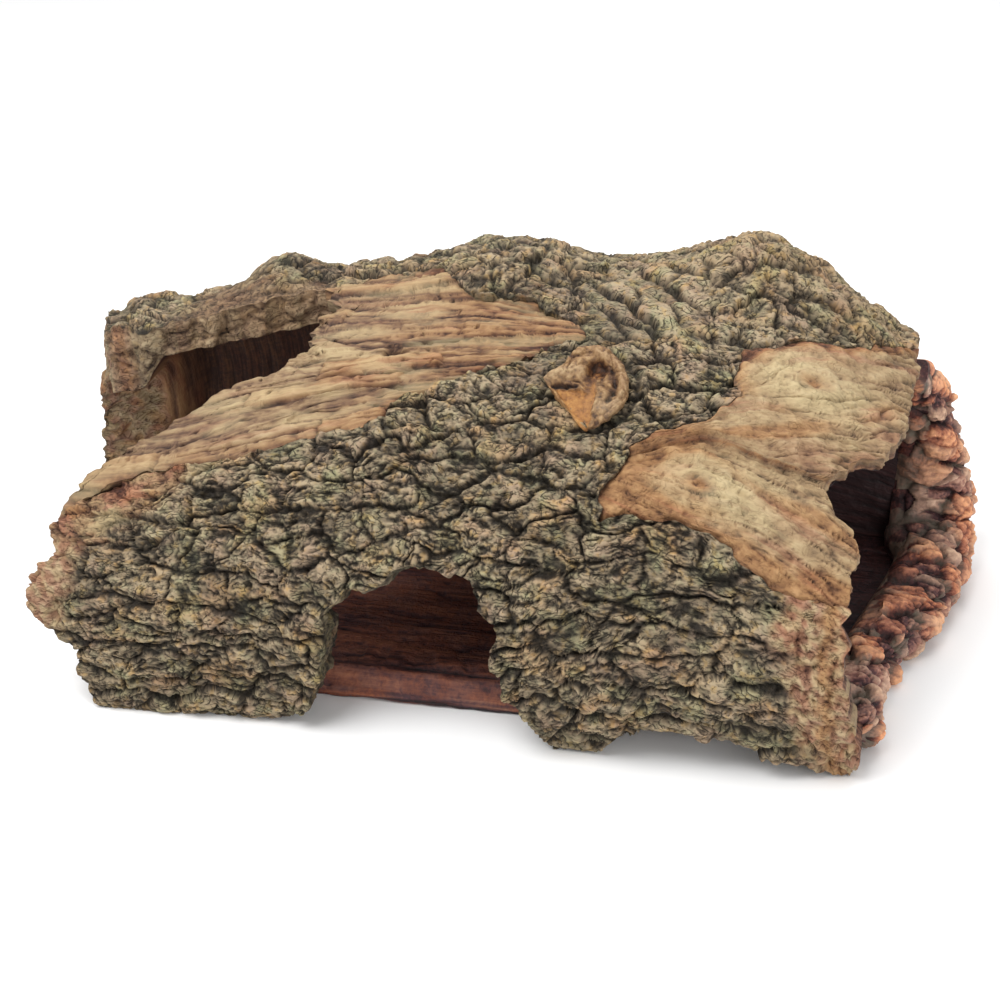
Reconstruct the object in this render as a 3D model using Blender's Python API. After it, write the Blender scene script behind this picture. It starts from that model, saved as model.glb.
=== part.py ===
"""Hollow broken log for an aquarium floor, cast in resin as nine bonded pieces."""
import math

import bmesh
import bpy
from mathutils import Matrix, Vector, noise

MM = 0.001

# The log as cross-sections along its length, all in mm:
# distance along the log, front foot, crest line, rear foot, crest height, inward tuck of the front foot.
STATIONS = (
    (-146, -44, 50, 84, 69, 0),
    (-110, -57, 52, 88, 77.5, 1),
    (-60, -58, 54, 90, 91, 5),
    (0, -58, 56, 91, 98, 7),
    (60, -57, 58, 91, 100, 8),
    (100, -55, 57, 89, 89.5, 8),
    (140, -48, 52, 84, 64, 6),
)
FOOTPRINT_CENTRE = (-7.1, 18.0)
FRONT_POWER = 2.5
REAR_POWER = 2.6
TUCK_HEIGHT = 34.0
GIRTH_STEPS = 720

# Walls: thin at the crest, thick where they stand on the ground.
ROOF_WALL = 8.0
FOOT_WALL = 14.0
FOOT_TAPER = 70.0
POST_WALL = 21.0
BEAM_WALL = 10.0
POST_INNER_X = -118.0
BEAM_REAR_GIRTH = 190.0
BLEND = 9.0
GLUE_GAP = 0.36

# Edges of the pieces: (distance along the log, girth measured up from the front foot).
FRONT_SEAM_LEFT = (
    (-117, 65), (-107, 78), (-98, 81), (-87, 83), (-72, 84), (-58, 87), (-42, 91), (-27, 94),
)
FRONT_SEAM_MIDDLE = ((-27, 94), (-7, 81), (10, 76), (24, 73), (35, 70))
FRONT_SEAM_RIGHT = ((35, 70), (59, 70), (75, 62), (87, 56), (102, 59))
CROWN_LEFT_EDGE = ((-27, 94), (-27, 101), (-15, 107), (0, 116), (12, 123), (21, 128))
CROWN_RIGHT_EDGE = ((35, 70), (34, 78), (40, 87), (53, 97), (66, 107), (65, 124))
REAR_SEAM_LEFT = (
    (-60, 162), (-50, 168), (-42, 169), (-26, 158), (-12, 146), (3, 144), (16, 137), (21, 128),
)
REAR_SEAM_MIDDLE = ((21, 128), (38, 127), (52, 126), (65, 124))
REAR_SEAM_RIGHT = ((65, 124), (78, 135), (94, 144), (106, 158), (113, 170))
HOLE_FRONT_EDGE = (
    (-117, 65), (-104, 86), (-91, 92), (-82, 104), (-76, 106), (-63, 109), (-67, 114),
    (-53, 122), (-57, 131), (-55, 146), (-60, 162),
)
RIGHT_BROKEN_EDGE = (
    (102, 59), (102, 65), (101, 76), (93, 89), (95, 93), (108, 108), (110, 118), (113, 144), (113, 170),
)
FRONT_WALL_LEFT_END = ((-104, 0), (-109, 12), (-110, 27), (-119, 32), (-125, 41), (-119, 54), (-117, 65))
FRONT_WALL_FEET = (
    (-104, -0.2), (-76, -0.2), (-50, -0.2), (-30, -0.2), (0, -0.2), (20, -0.2), (36, -0.2), (42, 6), (52, 11), (64, 12),
    (78, 9), (90, 4), (98, -0.2), (106, -0.2),
)
FRONT_WALL_RIGHT_END = ((106, 0), (108, 10), (104, 30), (101, 49), (102, 59))
REAR_FOOT_GIRTH = 291
REAR_WALL_LEFT_X = -60
REAR_WALL_RIGHT_X = 113
POST_OUTER_EDGE = ((-134, 160), (-139, 176), (-146, 200), (-149, 235), (-150, 262), (-149, 291))
HOLE_REAR_EDGE = ((-134, 160), (-120, 158), (-104, 161), (-88, 159), (-72, 161), (-60, 162))

# Cells along each edge; neighbours share the same points.
CELLS_LEFT = 15
CELLS_MIDDLE = 9
CELLS_RIGHT = 12
CELLS_ROOF_GIRTH = 13
CELLS_FRONT_GIRTH = 13
CELLS_REAR_GIRTH = 20
CELLS_POST = 13

# Doorway in the front wall: outline across the log (distance along, height).
DOORWAY = (
    (-52, -4), (-47, 3), (-43, 9), (-39, 17), (-37, 30), (-38, 39), (-32, 45), (-23, 47), (-16, 51),
    (-7, 52), (2, 50), (7, 44), (10, 36), (9, 29), (12, 21), (18, 14), (21, 7), (26, 2), (30, -4),
)
DOORWAY_FROM_Y = -75.0
DOORWAY_TO_Y = -26.0

# Mounds of bark and swellings: (distance along, girth, half width, height).
MOUNDS = (
    (-74, 176, 13, 6), (-3, 166, 21, 8), (76, 168, 20, 13.5),
    (86, 121, 12, 2.0), (58, 80, 11, 2.0), (-123, 44, 9, 2.0), (-30, 92, 12, 2.5),
)

# Bark relief and the quieter relief of the peeled wood.
BARK_LIFT = 1.4
BARK_SWELL = 3.2
BARK_SPACING = 17.0
WOOD_SWELL = 0.8
WOOD_SPACING_ALONG = 60.0
WOOD_SPACING_ACROSS = 12.0

# Floor of the hollow.
FLOOR_HEIGHT = 7.0
FLOOR_SWELL = 0.8
FLOOR_CELLS_ALONG = 24
FLOOR_CELLS_ACROSS = 12
FLOOR_LEFT_EDGE = ((-106, -41), (-116, 0), (-121, 30), (-124, 61))
FLOOR_RIGHT_EDGE = ((96.4, -33), (96.4, -12), (99.8, 6), (104.3, 24), (109, 42), (112.2, 60), (112.3, 72))
FLOOR_CLEARANCE = 0.5

# Lumpy rim round the right end: centre, half width, half thickness.
RIM_STATIONS = (
    ((115.6, 66, 70), 2, 4),
    ((116.6, 73, 64), 3.4, 6),
    ((118.6, 79, 56), 5.6, 8),
    ((120.6, 82, 46), 7.4, 9.5),
    ((122.6, 83, 35), 9.2, 10),
    ((124, 81, 23), 11, 10),
    ((124.4, 74, 13.5), 11, 9.5),
    ((124.2, 60, 8.5), 10.4, 8.5),
    ((121, 42, 7.5), 10.5, 7.5),
    ((115.5, 24, 7), 10, 7),
    ((109.5, 6, 7), 8.5, 7),
    ((105, -12, 7), 7.6, 7),
    ((105, -31.6, 8), 7.8, 8),
)
RIM_RINGS = 30
RIM_SIDES = 16
RIM_POWER = 2.8
RIM_SWELL = 2.2
RIM_SPACING = 11.0
RIM_CLEARANCE = 0.5

# Cut branch stub set in the crown.
STUB_POSITION = (27, 107)
STUB_RADIUS = 11.4
STUB_ROOT_RADIUS = 9.0
STUB_STANDS = 6.0
STUB_DEPTH = 7.0
STUB_COLLAR = 1.2
STUB_SIDES = 28
STUB_TILT = math.radians(14)

# Locating pegs: owner, neighbour, place on the seam and direction (both along, girth).
PEG_RADIUS = 1.4
PEG_REACH = 4.5
PEG_CLEARANCE = 0.32
PEG_SIDES = 12
PEGS = (
    ("front_wall", "left_roof_panel", (-93, 82), (0, 1)),
    ("front_wall", "left_roof_panel", (-50, 89), (0, 1)),
    ("front_wall", "crown_bark", (2, 78.4), (0, 1)),
    ("front_wall", "right_roof_panel", (47, 70), (0, 1)),
    ("front_wall", "right_roof_panel", (81, 59), (0.45, 0.9)),
    ("left_roof_panel", "crown_bark", (-7.5, 111.5), (0.51, -0.86)),
    ("crown_bark", "right_roof_panel", (46.5, 92), (0.61, -0.79)),
    ("rear_wall", "left_roof_panel", (-34, 163.5), (-0.57, -0.82)),
    ("rear_wall", "left_roof_panel", (-4, 145), (-0.13, -0.99)),
    ("rear_wall", "crown_bark", (45, 126.5), (0, -1)),
    ("rear_wall", "right_roof_panel", (86, 139.5), (0.49, -0.87)),
    ("left_end_rim", "rear_wall", (-60, 205), (1, 0)),
    ("left_end_rim", "rear_wall", (-60, 255), (1, 0)),
    ("rear_wall", "right_end_rim", (113, 225), (1, 0)),
)
# Pegs standing out of the floor: neighbour, start point, end point.
FLOOR_PEGS = (
    ("front_wall", (-80, -34), (-80, -46)),
    ("front_wall", (33, -30), (33, -42)),
    ("rear_wall", (-30, 70), (-30, 83)),
    ("rear_wall", (70, 70), (70, 83)),
    ("left_end_rim", (-90, 68), (-90, 82)),
    ("right_end_rim", (96, 8), (106, 8)),
)
FLOOR_PEG_HEIGHT = 3.8

# Colours of the paint on each piece: base colour and roughness.
PAINT = {
    "base_floor": ((0.20, 0.10, 0.07), 0.7),
    "front_wall": ((0.36, 0.30, 0.20), 0.75),
    "rear_wall": ((0.33, 0.28, 0.19), 0.75),
    "left_roof_panel": ((0.62, 0.44, 0.30), 0.65),
    "right_roof_panel": ((0.66, 0.45, 0.29), 0.65),
    "crown_bark": ((0.38, 0.32, 0.21), 0.75),
    "branch_stub": ((0.60, 0.35, 0.18), 0.65),
    "left_end_rim": ((0.40, 0.31, 0.21), 0.75),
    "right_end_rim": ((0.38, 0.20, 0.16), 0.6),
}


def clear_scene():
    for old in list(bpy.data.objects):
        bpy.data.objects.remove(old, do_unlink=True)


def make_collections():
    part = bpy.data.collections.new("resin_cave_log")
    cutters = bpy.data.collections.new("cutters")
    bpy.context.scene.collection.children.link(part)
    bpy.context.scene.collection.children.link(cutters)
    return part, cutters


def station(x):
    """Front foot, crest line, rear foot, crest height and tuck at one place along the log."""
    x = min(max(x, STATIONS[0][0]), STATIONS[-1][0])
    i = max(k for k in range(len(STATIONS) - 1) if STATIONS[k][0] <= x)
    a, b = STATIONS[i], STATIONS[i + 1]
    before, after = STATIONS[max(i - 1, 0)], STATIONS[min(i + 2, len(STATIONS) - 1)]
    span = b[0] - a[0]
    t = (x - a[0]) / span
    values = []
    for k in range(1, 6):
        leave = (b[k] - before[k]) / (b[0] - before[0]) * span
        arrive = (after[k] - a[k]) / (after[0] - a[0]) * span
        start = (2 * t ** 3 - 3 * t * t + 1) * a[k] + (t ** 3 - 2 * t * t + t) * leave
        values.append(start + (3 * t * t - 2 * t ** 3) * b[k] + (t ** 3 - t * t) * arrive)
    return values


def section_point(x, angle, depth):
    """Point of the log's section at an angle from the front foot, a depth below the skin."""
    front, crest, rear, height, tuck = station(x)
    c, s = math.cos(angle), max(math.sin(angle), 0.0)
    power = FRONT_POWER if c > 0 else REAR_POWER
    reach = (crest - front if c > 0 else rear - crest) - depth
    z = (height - depth) * s ** (2 / power)
    y = crest - math.copysign(abs(c) ** (2 / power), c) * reach
    if c > 0:
        y += tuck * max(0.0, 1 - z / TUCK_HEIGHT) ** 2
    return Vector((x - FOOTPRINT_CENTRE[0], y - FOOTPRINT_CENTRE[1], z)) * MM


def girth_table():
    """Girth of the middle section, up from the front foot, for evenly spaced angles."""
    girths = [0.0]
    last = section_point(0, 0, 0)
    for k in range(1, GIRTH_STEPS + 1):
        here = section_point(0, math.pi * k / GIRTH_STEPS, 0)
        girths.append(girths[-1] + (here - last).length / MM)
        last = here
    return girths


def surface(x, girth, depth, table):
    low, high = 0, len(table) - 1
    girth = min(max(girth, 0.0), table[-1])
    while high - low > 1:
        middle = (low + high) // 2
        if table[middle] <= girth:
            low = middle
        else:
            high = middle
    share = (girth - table[low]) / (table[high] - table[low])
    return section_point(x, math.pi * (low + share) / GIRTH_STEPS, depth)


def fade(distance):
    """0 well below zero, 1 well above, smooth over the blend width."""
    t = min(max(distance / BLEND + 0.5, 0.0), 1.0)
    return t * t * (3 - 2 * t)


def wall_thickness(name, x, girth):
    low = min(girth, REAR_FOOT_GIRTH - girth)
    t = min(max(1 - low / FOOT_TAPER, 0.0), 1.0)
    wall = ROOF_WALL + (FOOT_WALL - ROOF_WALL) * min(1.0, 1.6 * t)
    if name == "left_end_rim":
        post = fade(POST_INNER_X - x)
        beam = fade(BEAM_REAR_GIRTH - girth)
        wall = max(wall, ROOF_WALL + (POST_WALL - ROOF_WALL) * post)
        wall = max(wall, ROOF_WALL + (BEAM_WALL - ROOF_WALL) * beam)
    return wall


def relief(kind, x, girth):
    """Height of the modelled surface above the plain log."""
    height = sum(
        rise * math.exp(-((x - mx) ** 2 + (girth - mg) ** 2) / (radius * radius))
        for mx, mg, radius, rise in MOUNDS
    )
    if kind == "bark":
        place = Vector((x / BARK_SPACING, girth / BARK_SPACING, 0.3))
        return height + BARK_LIFT + BARK_SWELL * abs(noise.noise(place)) * 2
    place = Vector((x / WOOD_SPACING_ALONG, girth / WOOD_SPACING_ACROSS, 4.7))
    return height + WOOD_SWELL * noise.noise(place)


def divide(points, cells):
    """The same run of points with its longest steps halved until it has enough cells."""
    run = [Vector((float(a), float(b))) for a, b in points]
    while len(run) < cells + 1:
        longest = max(range(len(run) - 1), key=lambda k: (run[k + 1] - run[k]).length)
        run.insert(longest + 1, (run[longest] + run[longest + 1]) / 2)
    return run


def inset(loop, distance):
    """Closed anticlockwise loop moved inward by a distance."""
    moved = []
    for k, point in enumerate(loop):
        ahead = (loop[(k + 1) % len(loop)] - point).normalized()
        behind = (point - loop[k - 1]).normalized()
        left_a = Vector((-ahead.y, ahead.x))
        left_b = Vector((-behind.y, behind.x))
        spread = max(1 + left_a.dot(left_b), 0.35)
        moved.append(point + (left_a + left_b) * (distance / spread))
    return moved


def fill(bottom, right, top, left, distance):
    """Rows of places between four edges, each edge drawn in by a distance."""
    across, up = len(bottom) - 1, len(left) - 1
    loop = bottom[:-1] + right[:-1] + list(reversed(top))[:-1] + list(reversed(left))[:-1]
    loop = inset(loop, distance)
    low = loop[:across + 1]
    end = loop[across:across + up + 1]
    high = list(reversed(loop[across + up:2 * across + up + 1]))
    start = list(reversed(loop[2 * across + up:] + loop[:1]))
    rows = []
    for j in range(up + 1):
        t = j / up
        row = []
        for i in range(across + 1):
            s = i / across
            ruled = low[i] * (1 - t) + high[i] * t + start[j] * (1 - s) + end[j] * s
            corners = (low[0] * (1 - s) + low[-1] * s) * (1 - t) + (high[0] * (1 - s) + high[-1] * s) * t
            row.append(ruled - corners)
        rows.append(row)
    return rows


def add_object(name, bm, collection):
    mesh = bpy.data.meshes.new(name)
    bm.normal_update()
    bm.to_mesh(mesh)
    bm.free()
    obj = bpy.data.objects.new(name, mesh)
    collection.objects.link(obj)
    return obj


def extrude_sheet(rows, outer_point, inner_point):
    """Solid between an outer skin and an inner skin over the same rows of places."""
    bm = bmesh.new()
    across, up = len(rows[0]) - 1, len(rows) - 1
    bmesh.ops.create_grid(bm, x_segments=across, y_segments=up, size=1.0)
    place = bm.verts.layers.float_vector.new("place")
    for vert in bm.verts:
        i = round((vert.co.x + 1) / 2 * across)
        j = round((vert.co.y + 1) / 2 * up)
        vert[place] = Vector((*rows[j][i], 0))
        vert.co = outer_point(*rows[j][i])
    grown = bmesh.ops.extrude_face_region(bm, geom=bm.faces[:])
    for item in grown["geom"]:
        if isinstance(item, bmesh.types.BMVert):
            item.co = inner_point(item[place].x, item[place].y)
    bmesh.ops.recalc_face_normals(bm, faces=bm.faces)
    return bm


def shell_piece(name, kind, rows, table, collection):
    bm = extrude_sheet(
        rows,
        lambda x, girth: surface(x, girth, -relief(kind, x, girth), table),
        lambda x, girth: surface(x, girth, wall_thickness(name, x, girth), table),
    )
    return add_object(name, bm, collection)


def shell_rows():
    """Places of every wall and roof piece, from edges shared between neighbours."""
    seams = {
        "front_left": divide(FRONT_SEAM_LEFT, CELLS_LEFT),
        "front_middle": divide(FRONT_SEAM_MIDDLE, CELLS_MIDDLE),
        "front_right": divide(FRONT_SEAM_RIGHT, CELLS_RIGHT),
        "rear_left": divide(REAR_SEAM_LEFT, CELLS_LEFT),
        "rear_middle": divide(REAR_SEAM_MIDDLE, CELLS_MIDDLE),
        "rear_right": divide(REAR_SEAM_RIGHT, CELLS_RIGHT),
        "crown_left": divide(CROWN_LEFT_EDGE, CELLS_ROOF_GIRTH),
        "crown_right": divide(CROWN_RIGHT_EDGE, CELLS_ROOF_GIRTH),
        "hole": divide(HOLE_FRONT_EDGE, CELLS_ROOF_GIRTH),
        "broken": divide(RIGHT_BROKEN_EDGE, CELLS_ROOF_GIRTH),
    }
    front_top = seams["front_left"] + seams["front_middle"][1:] + seams["front_right"][1:]
    rear_low = seams["rear_left"] + seams["rear_middle"][1:] + seams["rear_right"][1:]
    total = CELLS_LEFT + CELLS_MIDDLE + CELLS_RIGHT
    rear_foot = ((REAR_WALL_LEFT_X, REAR_FOOT_GIRTH), (REAR_WALL_RIGHT_X, REAR_FOOT_GIRTH))
    rear_left_side = divide((REAR_SEAM_LEFT[0], rear_foot[0]), CELLS_REAR_GIRTH)
    rear_right_side = divide((REAR_SEAM_RIGHT[-1], rear_foot[1]), CELLS_REAR_GIRTH)
    half = GLUE_GAP / 2
    return {
        "front_wall": fill(
            divide(FRONT_WALL_FEET, total), divide(FRONT_WALL_RIGHT_END, CELLS_FRONT_GIRTH),
            front_top, divide(FRONT_WALL_LEFT_END, CELLS_FRONT_GIRTH), half),
        "left_roof_panel": fill(
            seams["front_left"], seams["crown_left"], seams["rear_left"], seams["hole"], half),
        "crown_bark": fill(
            seams["front_middle"], seams["crown_right"], seams["rear_middle"],
            seams["crown_left"], half),
        "right_roof_panel": fill(
            seams["front_right"], seams["broken"], seams["rear_right"], seams["crown_right"], half),
        "rear_wall": fill(
            rear_low, rear_right_side, divide(rear_foot, total), rear_left_side, half),
        "left_end_rim": fill(
            divide(HOLE_REAR_EDGE, CELLS_POST), rear_left_side,
            divide((POST_OUTER_EDGE[-1], rear_foot[0]), CELLS_POST),
            divide(POST_OUTER_EDGE, CELLS_REAR_GIRTH), half),
    }


def follow(stations, share):
    """Interpolated centre, half width and half thickness along the rim."""
    reach = share * (len(stations) - 1)
    k = min(int(reach), len(stations) - 2)
    t = reach - k
    a, b = stations[k], stations[k + 1]
    before, after = stations[max(k - 1, 0)], stations[min(k + 2, len(stations) - 1)]
    p0, p1, p2, p3 = (Vector(s[0]) for s in (before, a, b, after))
    bend = 2 * p1 + (p2 - p0) * t + (2 * p0 - 5 * p1 + 4 * p2 - p3) * t * t
    centre = (bend + (3 * p1 - 3 * p2 + p3 - p0) * t ** 3) / 2
    return centre, a[1] + (b[1] - a[1]) * t, a[2] + (b[2] - a[2]) * t


def rim_ring(share):
    step = 0.5 / RIM_RINGS
    centre, width, thick = follow(RIM_STATIONS, share)
    ahead = follow(RIM_STATIONS, min(share + step, 1))[0] - follow(RIM_STATIONS, max(share - step, 0))[0]
    ahead.normalize()
    side = (Vector((1, 0, 0)) - ahead * ahead.x).normalized()
    inward = ahead.cross(side)
    ring = []
    for k in range(RIM_SIDES):
        angle = 2 * math.pi * k / RIM_SIDES
        c, s = math.cos(angle), math.sin(angle)
        reach = math.copysign(abs(c) ** (2 / RIM_POWER), c) * width
        rise = math.copysign(abs(s) ** (2 / RIM_POWER), s) * thick
        point = centre + side * reach + inward * rise
        lump = RIM_SWELL * noise.noise(point / RIM_SPACING) * min(1.0, 6 * share)
        if c > -0.3:
            point += (side * c + inward * s) * lump
        if point.y > FLOOR_RIGHT_EDGE[-1][1] - 2 or point.z > 2 * FLOOR_HEIGHT:
            point.x = max(point.x, REAR_WALL_RIGHT_X + RIM_CLEARANCE)
        point.z = max(point.z, 0.0)
        ring.append(to_frame(point))
    return ring


def to_frame(point):
    return Vector((point.x - FOOTPRINT_CENTRE[0], point.y - FOOTPRINT_CENTRE[1], point.z)) * MM


def loft(rings):
    """Closed solid through rings of equal point count."""
    bm = bmesh.new()
    rows = [[bm.verts.new(point) for point in ring] for ring in rings]
    for row, after in zip(rows, rows[1:]):
        for k in range(len(row)):
            near = (k + 1) % len(row)
            bm.faces.new((row[k], row[near], after[near], after[k]))
    bm.faces.new(rows[0])
    bm.faces.new(rows[-1])
    bmesh.ops.recalc_face_normals(bm, faces=bm.faces)
    return bm


def right_rim(collection):
    rings = [rim_ring(k / RIM_RINGS) for k in range(RIM_RINGS + 1)]
    return add_object("right_end_rim", loft(rings), collection)


def edge_at(edge, y):
    for (xa, ya), (xb, yb) in zip(edge, edge[1:]):
        if ya <= y <= yb:
            return xa + (xb - xa) * (y - ya) / (yb - ya)
    return edge[0][0] if y < edge[0][1] else edge[-1][0]


def floor_rows():
    rows = []
    for j in range(FLOOR_CELLS_ACROSS + 1):
        t = j / FLOOR_CELLS_ACROSS
        row = []
        for i in range(FLOOR_CELLS_ALONG + 1):
            s = i / FLOOR_CELLS_ALONG
            left_y = FLOOR_LEFT_EDGE[0][1] + (FLOOR_LEFT_EDGE[-1][1] - FLOOR_LEFT_EDGE[0][1]) * t
            right_y = FLOOR_RIGHT_EDGE[0][1] + (FLOOR_RIGHT_EDGE[-1][1] - FLOOR_RIGHT_EDGE[0][1]) * t
            left_x, right_x = edge_at(FLOOR_LEFT_EDGE, left_y), edge_at(FLOOR_RIGHT_EDGE, right_y)
            x = left_x + (right_x - left_x) * s
            front, _crest, rear, _height, tuck = station(x)
            near = front + tuck + FOOT_WALL + FLOOR_CLEARANCE
            far = rear - FOOT_WALL - FLOOR_CLEARANCE
            if x < POST_INNER_X + BLEND:
                far = rear - POST_WALL - FLOOR_CLEARANCE
            row.append(Vector((x, near + (far - near) * t)))
        rows.append(row)
    return rows


def floor_piece(collection):
    def top(x, y):
        swell = FLOOR_SWELL * noise.noise(Vector((x / WOOD_SPACING_ALONG, y / WOOD_SPACING_ACROSS, 1.9)))
        return to_frame(Vector((x, y, FLOOR_HEIGHT + swell)))

    bm = extrude_sheet(floor_rows(), top, lambda x, y: to_frame(Vector((x, y, 0))))
    return add_object("base_floor", bm, collection)


def rod(name, start, end, radius, collection, sides=PEG_SIDES, end_radius=None):
    """Straight round bar between two points, as a primitive cone or cylinder."""
    bm = bmesh.new()
    add_rod(bm, start, end, radius, sides, end_radius)
    return add_object(name, bm, collection)


def add_rod(bm, start, end, radius, sides=PEG_SIDES, end_radius=None):
    axis = end - start
    turn = axis.to_track_quat("Z", "Y").to_matrix().to_4x4()
    matrix = Matrix.Translation((start + end) / 2) @ turn
    bmesh.ops.create_cone(
        bm, cap_ends=True, segments=sides, radius1=radius, radius2=end_radius or radius,
        depth=axis.length, matrix=matrix)


def peg_axis(name, place, direction, table):
    """Middle of a peg halfway through the wall, and its direction along the skin."""
    x, girth = place
    depth = wall_thickness(name, x, girth) / 2
    ahead = surface(x + direction[0], girth + direction[1], depth, table)
    back = surface(x - direction[0], girth - direction[1], depth, table)
    return surface(x, girth, depth, table), (ahead - back).normalized()


def boolean(obj, tool, operation):
    modifier = obj.modifiers.new(tool.name, "BOOLEAN")
    modifier.operation = operation
    modifier.solver = "EXACT"
    modifier.object = tool


def doorway_cutter(collection):
    bm = bmesh.new()
    face = bm.faces.new([
        bm.verts.new(to_frame(Vector((x, DOORWAY_FROM_Y, z)))) for x, z in DOORWAY
    ])
    grown = bmesh.ops.extrude_face_region(bm, geom=[face])
    moved = [item for item in grown["geom"] if isinstance(item, bmesh.types.BMVert)]
    bmesh.ops.translate(bm, verts=moved, vec=(0, (DOORWAY_TO_Y - DOORWAY_FROM_Y) * MM, 0))
    bmesh.ops.recalc_face_normals(bm, faces=bm.faces)
    return add_object("doorway", bm, collection)


def fit_pegs(pieces, table, collection):
    """Pegs joined to their owners and matching sockets sunk in their neighbours."""
    pegs = {name: [] for name in pieces}
    sockets = {name: [] for name in pieces}
    for owner, neighbour, place, direction in PEGS:
        middle, along = peg_axis("", place, direction, table)
        pegs[owner].append((middle - along * PEG_REACH * MM, middle + along * PEG_REACH * MM))
        deep = PEG_REACH + PEG_CLEARANCE
        sockets[neighbour].append((middle - along * MM, middle + along * deep * MM))
    for neighbour, start, end in FLOOR_PEGS:
        a = to_frame(Vector((*start, FLOOR_PEG_HEIGHT)))
        b = to_frame(Vector((*end, FLOOR_PEG_HEIGHT)))
        along = (b - a).normalized()
        pegs["base_floor"].append((a, b))
        sockets[neighbour].append((a, b + along * PEG_CLEARANCE * MM))
    for name, piece in pieces.items():
        for bars, extra, operation in ((pegs, 0, "UNION"), (sockets, PEG_CLEARANCE, "DIFFERENCE")):
            if not bars[name]:
                continue
            bm = bmesh.new()
            for start, end in bars[name]:
                add_rod(bm, start, end, (PEG_RADIUS + extra) * MM)
            label = "pegs" if operation == "UNION" else "sockets"
            boolean(piece, add_object(f"{name}_{label}", bm, collection), operation)


def stub_frame(table):
    """Seat of the stub on the crown and the direction it points."""
    x, girth = STUB_POSITION
    seat = surface(x, girth, 0, table)
    along = surface(x + 1, girth, 0, table) - surface(x - 1, girth, 0, table)
    up = surface(x, girth + 1, 0, table) - surface(x, girth - 1, 0, table)
    out = along.cross(up).normalized()
    if out.z < 0:
        out = -out
    out = Matrix.Rotation(STUB_TILT, 3, along.normalized()) @ out
    return seat, out


def stub_piece(table, collection):
    seat, out = stub_frame(table)
    turn = out.to_track_quat("Z", "Y").to_matrix()
    rings = []
    profile = (
        (-STUB_DEPTH, STUB_ROOT_RADIUS), (STUB_COLLAR, STUB_ROOT_RADIUS),
        (STUB_COLLAR + 1.4, STUB_RADIUS), (STUB_STANDS - 1.2, STUB_RADIUS), (STUB_STANDS, STUB_RADIUS - 1.6),
    )
    for rise, radius in profile:
        ring = []
        for k in range(STUB_SIDES):
            angle = 2 * math.pi * k / STUB_SIDES
            wave = 1 + 0.06 * math.sin(3 * angle + 0.7) + 0.04 * math.sin(5 * angle)
            reach = radius * (wave if rise > STUB_COLLAR else 1) * MM
            ring.append(seat + turn @ Vector((math.cos(angle) * reach, math.sin(angle) * reach, rise * MM)))
        rings.append(ring)
    return add_object("branch_stub", loft(rings), collection)


def stub_socket(table, collection):
    """Bore for the stub's root and a flat seat for its collar."""
    seat, out = stub_frame(table)
    bore = rod(
        "stub_bore", seat - out * (2 * STUB_DEPTH) * MM, seat + out * 2 * STUB_STANDS * MM,
        (STUB_ROOT_RADIUS + PEG_CLEARANCE) * MM, collection, sides=STUB_SIDES)
    rest = seat + out * (STUB_COLLAR - PEG_CLEARANCE) * MM
    spot = rod(
        "stub_seat", rest, rest + out * 3 * STUB_STANDS * MM,
        (STUB_RADIUS * 1.1 + PEG_CLEARANCE) * MM, collection, sides=STUB_SIDES)
    return bore, spot


def paint(obj):
    colour, roughness = PAINT[obj.name]
    material = bpy.data.materials.new(f"paint_{obj.name}")
    material.use_nodes = True
    shader = material.node_tree.nodes["Principled BSDF"]
    shader.inputs["Base Color"].default_value = (*colour, 1)
    shader.inputs["Roughness"].default_value = roughness
    shader.inputs["Metallic"].default_value = 0.0
    obj.data.materials.append(material)
    obj.data.shade_smooth()
    obj.data.set_sharp_from_angle(angle=math.radians(50))


def main():
    clear_scene()
    part, cutters = make_collections()
    table = girth_table()
    kinds = {"left_roof_panel": "wood", "right_roof_panel": "wood"}
    pieces = {}
    for name, rows in shell_rows().items():
        pieces[name] = shell_piece(name, kinds.get(name, "bark"), rows, table, part)
    pieces["base_floor"] = floor_piece(part)
    pieces["right_end_rim"] = right_rim(part)
    stub = stub_piece(table, part)
    boolean(pieces["front_wall"], doorway_cutter(cutters), "DIFFERENCE")
    for tool in stub_socket(table, cutters):
        boolean(pieces["crown_bark"], tool, "DIFFERENCE")
    fit_pegs(pieces, table, cutters)
    for piece in (*pieces.values(), stub):
        paint(piece)
    for tool in cutters.objects:
        tool.hide_render = True
        tool.display_type = "WIRE"


main()
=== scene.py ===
"""Looks of the hollow log cave: carved and hand-painted resin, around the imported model."""
import math
from itertools import product

import bpy
import numpy as np
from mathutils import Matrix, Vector


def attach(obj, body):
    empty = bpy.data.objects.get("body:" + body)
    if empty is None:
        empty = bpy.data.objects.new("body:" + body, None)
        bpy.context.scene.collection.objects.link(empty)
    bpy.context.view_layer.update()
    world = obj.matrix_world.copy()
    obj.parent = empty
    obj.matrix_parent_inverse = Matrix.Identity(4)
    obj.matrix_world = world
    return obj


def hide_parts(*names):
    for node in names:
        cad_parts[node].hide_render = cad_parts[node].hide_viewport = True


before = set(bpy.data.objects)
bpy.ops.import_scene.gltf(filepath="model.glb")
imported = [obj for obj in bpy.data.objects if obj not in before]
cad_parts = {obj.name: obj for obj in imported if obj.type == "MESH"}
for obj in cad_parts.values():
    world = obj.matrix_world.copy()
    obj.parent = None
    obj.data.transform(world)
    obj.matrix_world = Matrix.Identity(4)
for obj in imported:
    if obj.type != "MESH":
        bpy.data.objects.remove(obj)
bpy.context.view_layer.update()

MM = 0.001
QUALITY = 1.0

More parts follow.
